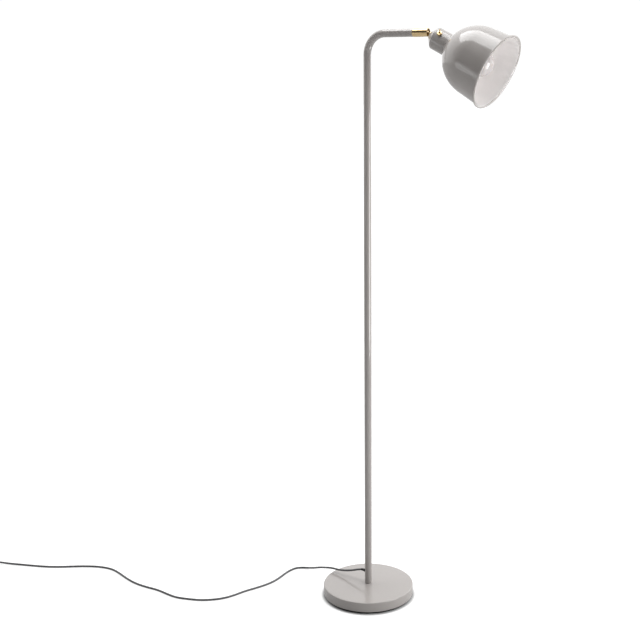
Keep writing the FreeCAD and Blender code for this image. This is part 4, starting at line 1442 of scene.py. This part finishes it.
# ---------------------------------------------------------------------------------------------
# The flex's path in millimetres: down from the tube, (x, y) flat on the floor, up onto the coil.
FALL = (
    (-21.5, 0.0, CORD_HEIGHT), (-34.0, 0.0, 62.5), (-53.0, 1.5, 54.5), (-76.0, 3.5, 47.5),
    (-100.0, 6.0, 42.5), (-125.0, 9.0, 41.0), (-149.0, 13.5, 34.5), (-175.0, 23.0, 25.0),
    (-201.5, 33.5, 12.5), (-224.5, 39.0, 4.6),
)
LAY = (
    (-244.0, 35.0), (-259.0, 22.5), (-264.0, 0.5), (-264.5, -24.0), (-262.0, -52.0),
    (-263.0, -84.0), (-271.0, -114.0), (-284.0, -144.0), (-297.0, -172.0), (-306.0, -204.0),
    (-320.0, -233.0), (-343.0, -257.0), (-370.0, -275.0), (-402.0, -286.0), (-434.0, -295.0),
    (-470.0, -292.0), (-508.0, -286.5), (-548.0, -290.0), (-590.0, -288.5), (-632.0, -278.0),
    (-672.0, -264.0), (-708.0, -255.0), (-744.0, -260.0), (-779.0, -275.0), (-812.0, -296.0),
    (-845.0, -320.0), (-882.0, -341.0), (-922.0, -356.5), (-960.0, -370.0),
)
CLIMB = (
    (-992.0, -383.5, 3.6), (-1020.0, -397.5, 7.0), (-1043.0, -410.0, 9.65), (-1062.0, -421.0, 9.65),
)


@dataclass
class Flex:
    """The cord: strain relief, free length, put-away coil with its tie, and the plug."""

    finishes: Finishes
    radius: float = 2.75
    length: float = 2.10
    coil_radius: float = 34.0
    coil_step: float = 6.0
    turns_in: float = 1.75
    turns_out: float = 2.5
    drop_turns: float = 0.5
    coil_low: float = 3.65
    strap_half: float = 4.0
    strap: float = 0.8
    slack: float = 0.4
    plug_half: float = 6.8
    pin_spread: float = 9.3

    def __post_init__(self) -> None:
        """Join the path's three stretches."""
        self.route = [*FALL, *((x, y, self.radius) for x, y in LAY), *CLIMB]

    def build(self) -> None:
        """Make the cord and what is on it."""
        self.relief()
        self.cord([self.tie(), *self.plug()])

    def coil_frame(self) -> Matrix:
        """The coil's frame in millimetres, as in the solids."""
        last, before = Vector(self.route[-1]), Vector(self.route[-2])
        ahead = last - before
        ahead.z = 0
        ahead.normalize()
        side = Vector((ahead.y, -ahead.x, 0))
        middle = last + ahead * (2 * self.radius) - side * self.coil_radius
        middle.z = self.coil_low
        turn = Matrix.Rotation(math.atan2(side.y, side.x), 4, "Z")
        return Matrix.Translation(middle) @ turn

    def coil_point(self, turns: float) -> Vector:
        """Place on the coil's centreline after a number of turns, in the coil's frame."""
        inward = turns if turns <= self.turns_in else 2 * self.turns_in - turns
        radius = self.coil_radius - self.coil_step * inward
        start = self.turns_in - self.drop_turns / 2
        share = min(max((turns - start) / self.drop_turns, 0.0), 1.0)
        height = self.coil_step * (1 - share * share * (3 - 2 * share))
        angle = 2 * math.pi * turns
        return Vector((radius * math.cos(angle), radius * math.sin(angle), height))

    def coil_end(self) -> tuple[Vector, Vector]:
        """Where the coil meets the plug, and its heading there, in millimetres."""
        total = self.turns_in + self.turns_out
        place = self.coil_frame()
        last = self.coil_point(total)
        angle = 2 * math.pi * total
        out = Vector((math.cos(angle), math.sin(angle), 0))
        round_ = Vector((-math.sin(angle), math.cos(angle), 0))
        heading = (round_ * 2 * math.pi * last.xy.length + out * self.coil_step).normalized()
        heading = (place.to_3x3() @ heading).normalized()
        return place @ last + heading * (2 * self.radius), heading

    def cord(self, pieces: Sequence[bpy.types.Object]) -> None:
        """The cord as one smooth spline through the route and the coil's turns.

        Args:
            pieces: What is fixed on it.
        """
        points = [Vector(p) for p in self.route]
        place = self.coil_frame()
        total = self.turns_in + self.turns_out
        steps = 16
        for k in range(int(total * steps) + 1):
            points.append(place @ self.coil_point(k / steps))
        end, heading = self.coil_end()
        points[-1] = end - heading * (1.2 * self.radius)
        points.append(end)
        curve = bpy.data.curves.new("flex", "CURVE")
        curve.dimensions = "3D"
        curve.bevel_depth = self.radius * MM
        curve.bevel_resolution = 5
        curve.resolution_u = 8
        curve.use_fill_caps = True
        spline = curve.splines.new("NURBS")
        spline.points.add(len(points) - 1)
        for spot, point in zip(spline.points, points):
            spot.co = (*(point * MM), 1.0)
        spline.order_u = 3
        spline.use_endpoint_u = True
        curve.materials.append(self.finishes.flex)
        piece = bpy.data.objects.new("flex", curve)
        bpy.context.scene.collection.objects.link(piece)
        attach(piece, Body.STAND.value)
        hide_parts("cord_lead", "cord_coil")
        log.info("flex with %d points", len(points))

    def relief(self) -> None:
        """Grommet in the tube's side with a ribbed, tapered strain relief."""
        outline = rounded(
            [
                (2.6, 5.6),
                (4.6, 5.6, 0.4),
                (4.6, 6.74, 0.2),
                (3.55, 6.74),
                (3.55, 9.53),
                (4.6, 9.53, 0.2),
                (4.6, 10.73, 0.5),
                (3.7, 11.0, 0.2),
                (3.05, 21.3, 0.3),
                (2.6, 21.5),
            ],
            4,
        )
        black = self.finishes.black
        body = coated(lathe("cord_grommet_dressed", outline, CORD_EXIT, 64), black)
        mesh = joined(body, rings_along(5, 3.5, -0.12, 0.32, 12.6, 1.9, black, CORD_EXIT))
        dressed(mesh, "cord_grommet_dressed", Body.STAND, None, "cord_grommet")

    def tie(self) -> bpy.types.Object:
        """A rubber strap round the coil's turns."""
        place = Matrix.Scale(MM, 4) @ self.coil_frame()
        passes = [n + 0.5 for n in range(int(self.turns_in + self.turns_out))]
        reaches = [self.coil_point(t).xy.length for t in passes]
        half, thick, slack = self.strap_half, self.strap, self.slack
        near = math.sqrt((min(reaches) - self.radius) ** 2 - half**2) - slack
        far = max(reaches) + self.radius + slack
        low, high = -self.radius - 0.05, self.coil_step + self.radius + slack
        inner = rounded(
            [(-far, low, 1.0), (-near, low, 1.0), (-near, high, 1.0), (-far, high, 1.0)], 6
        )
        left, right, under, over = -far - thick, -near + thick, low - thick, high + thick
        outer = rounded(
            [(left, under, 1.8), (right, under, 1.8), (right, over, 1.8), (left, over, 1.8)], 6
        )
        form = bmesh.new()
        edges = [(outer, -half), (inner, -half), (inner, half), (outer, half)]
        loops = [[form.verts.new((x, y, z)) for x, z in outline] for outline, y in edges]
        skin(form, loops + loops[:1])
        mesh = finished_mesh(form, "coil_tie_dressed", place, SHARP)
        look = self.finishes.black
        return dressed(mesh, mesh.name, Body.STAND, look, "coil_tie")

    def plug(self) -> tuple[bpy.types.Object, bpy.types.Object]:
        """Flat two-pin plug on the floor with a tapered relief.

        Returns:
            The plug's body and its pins.
        """
        start, heading = self.coil_end()
        up = Vector((0, 0, 1))
        side = up.cross(heading)
        turn = Matrix((side, up, heading)).transposed()
        place = framed(start, turn)
        drop = self.plug_half - start.z
        form = bmesh.new()
        rings, segments = [], 64
        sections = [
            (0.0, 3.1, 3.1, 0.0, 1.0),
            (24.0, 4.6, 4.6, drop, 1.0),
            (24.4, 7.0, 5.2, drop, 0.8),
            (26.5, 10.0, 6.1, drop, 0.5),
            (32.0, 13.5, 6.5, drop, 0.42),
            (39.0, 17.0, 6.8, drop, 0.4),
            (52.0, 17.5, 6.8, drop, 0.4),
            (53.4, 17.1, 6.4, drop, 0.4),
            (54.0, 16.2, 5.6, drop, 0.4),
        ]
        for z, wide, tall, shift, power in sections:
            ring = []
            for k in range(segments):
                angle = 2 * math.pi * k / segments
                c, s = math.cos(angle), math.sin(angle)
                x = math.copysign(abs(c) ** power, c) * wide
                y = math.copysign(abs(s) ** power, s) * tall
                ring.append(form.verts.new((x, y + shift, z)))
            rings.append(ring)
        skin(form, rings)
        form.faces.new(rings[0])
        form.faces.new(rings[-1])
        mesh = finished_mesh(form, "plug_body_dressed", place, 35.0)
        black, brass = self.finishes.black, self.finishes.head_brass
        body = dressed(mesh, mesh.name, Body.STAND, black, "plug_body")
        blade = rounded([(0, 54), (2, 54), (2, 73, 1.2), (0, 73)], 6)
        collar = rounded([(2.0, 54), (2.25, 54), (2.25, 63, 0.2), (2.0, 63.2)], 2)
        pins = []
        for sign in (-1, 1):
            spot = place @ Matrix.Translation((self.pin_spread * sign, drop, 0))
            pins.append(coated(lathe("pin", blade, spot, 40), brass))
            pins.append(coated(lathe("collar", collar, spot, 40), black))
        mesh = joined(*pins)
        return body, dressed(
            mesh, "plug_pins_dressed", Body.STAND, None, "plug_pins"
        )


# ---------------------------------------------------------------------------------------------
@dataclass(frozen=True)
class Panel:
    """A soft rectangle of light: where it stands, what it faces, width and height, watts."""

    name: str
    spot: tuple[float, float, float]
    aim: tuple[float, float, float]
    size: tuple[float, float]
    power: float

    def light(self) -> None:
        """Hang the panel."""
        data = bpy.data.lights.new(self.name, "AREA")
        data.shape, data.size, data.size_y = "RECTANGLE", *self.size
        data.energy = self.power
        lamp = bpy.data.objects.new(self.name, data)
        lamp.location = self.spot
        way = Vector(self.aim) - Vector(self.spot)
        lamp.rotation_euler = way.to_track_quat("-Z", "Y").to_euler()
        bpy.context.scene.collection.objects.link(lamp)


@dataclass
class Studio:
    """Camera at the photograph's view, a pale floor and soft lights."""

    eye: Vector = field(default_factory=lambda: Vector((1.45330523, -2.37773754, 1.3976)))
    ahead: Vector = field(default_factory=lambda: Vector((-0.50087946, 0.83721681, -0.21951715)))
    lens: float = 61.83
    shift: float = -0.0906
    unlit_side: Vector = field(default_factory=lambda: Vector((0.5134, -0.8582, 0.0)))
    right_side: Vector = field(default_factory=lambda: Vector((0.8582, 0.5134, 0.0)))
    unlit_span: tuple[float, float] = (-0.35, 0.25)
    unlit_light: float = 0.04
    side_light: float = 1.2
    right_light: float = 0.8
    right_span: tuple[float, float] = (0.2, 0.9)
    top_light: float = 0.6
    top_span: tuple[float, float] = (0.45, 0.95)
    backdrop: float = 1.03
    floor_half: float = 40.0
    floor_sink: float = 0.0002
    # Strength of the floor's camera-only glow, and the distances from the origin in metres over which
    # it fades in; inside them lies a painted contact shadow.
    floor_glow: float = 0.6
    painted_shadow_span: tuple[float, float] = (0.121, 0.133)
    panels: tuple[Panel, ...] = (
        Panel("overhead", (-0.06, -0.06, 2.5), (-0.06, -0.06, 0), (1.15, 0.85), 12),
        Panel("right_panel", (1.7, 0.1, 0.9), (0.33, 0, 1.4), (0.8, 1.3), 25),
        Panel("left_panel", (-1.15, -1.43, 1.13), (0.3, -0.09, 1.41), (0.5, 0.5), 1),
    )

    def build(self) -> None:
        """Make the camera, the floor and the lights."""
        self.camera()
        self.floor()
        self.world()
        for panel in self.panels:
            panel.light()

    def camera(self) -> None:
        """A camera with the photograph's framing."""
        data = bpy.data.cameras.new("camera")
        data.lens, data.sensor_width, data.shift_x = self.lens, 36.0, self.shift
        data.clip_start, data.clip_end = 0.05, 60.0
        camera = bpy.data.objects.new("camera", data)
        camera.location = self.eye
        camera.rotation_euler = self.ahead.to_track_quat("-Z", "Y").to_euler()
        bpy.context.scene.collection.objects.link(camera)
        bpy.context.scene.camera = camera

    def floor(self) -> None:
        """A large pale floor that glows for the camera alone, fading out close round the base to
        leave a painted contact shadow there.
        """
        mix = Recipe("pale_floor")
        cloud = mix.noise(3.0, 2.0)
        white = tone(200, 200, 200)
        away = mix.node("ShaderNodeVectorMath", {"operation": "LENGTH"}, {0: mix.place}, "Value")
        seen = mix.node("ShaderNodeLightPath", output="Is Camera Ray")
        # Painted contact shadow: the glow fades out close round the base, so the floor there stays
        # darker.
        glow = away.smooth(*self.painted_shadow_span) * seen
        look = mix.surface(
            Base_Color=mix.blend(cloud, white, scaled(white, 0.99)),
            Roughness=0.8,
            Specular_IOR_Level=0.1,
            Emission_Color=mix.blend(glow, (0.0, 0.0, 0.0), (1.0, 1.0, 1.0)),
            Emission_Strength=self.floor_glow,
        )
        mesh = bpy.data.meshes.new("floor")
        size = self.floor_half
        corners = [(-size, -size, 0), (size, -size, 0), (size, size, 0), (-size, size, 0)]
        mesh.from_pydata(corners, [], [(0, 1, 2, 3)])
        mesh.materials.append(look)
        floor = bpy.data.objects.new("floor", mesh)
        floor.location.z = -self.floor_sink
        bpy.context.scene.collection.objects.link(floor)

    def world(self) -> None:
        """White surroundings that give less light from the room's unlit side."""
        world = bpy.data.worlds.new("studio")
        world.use_nodes = True
        tree = Tree(world.node_tree)
        tree.group.nodes.clear()
        way = tree.node("ShaderNodeTexCoord", output="Generated")
        unlit = tree.reach(way, self.unlit_side).smooth(*self.unlit_span)
        right = tree.reach(way, self.right_side).smooth(*self.right_span)
        above = tree.reach(way, Vector((0, 0, 1))).smooth(*self.top_span)
        side = self.side_light + right * self.right_light
        level = side - unlit * (side - self.unlit_light) + above * self.top_light
        glow = tree.node("ShaderNodeBackground", None, {"Color": level, "Strength": 1.0})
        white = {"Color": (1.0, 1.0, 1.0, 1.0), "Strength": self.backdrop}
        plain = tree.node("ShaderNodeBackground", None, white)
        seen = tree.node("ShaderNodeLightPath", output="Is Camera Ray")
        both = tree.node("ShaderNodeMixShader", None, {0: seen, 1: glow, 2: plain})
        tree.node("ShaderNodeOutputWorld", None, {"Surface": both}, None)
        bpy.context.scene.world = world
        bpy.context.scene.view_settings.view_transform = "Standard"


def main() -> None:
    """Dress the lamp and light it."""
    logging.basicConfig(level=logging.INFO, format="%(name)s: %(message)s")
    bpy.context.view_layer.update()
    Studio().build()
    finishes = Finishes()
    for kind in (Flex, Stand, Knuckle, Head, ToggleSwitch):
        kind(finishes).build()
        log.info("%s is built", kind.__name__)


if __name__ == "__main__":
    main()
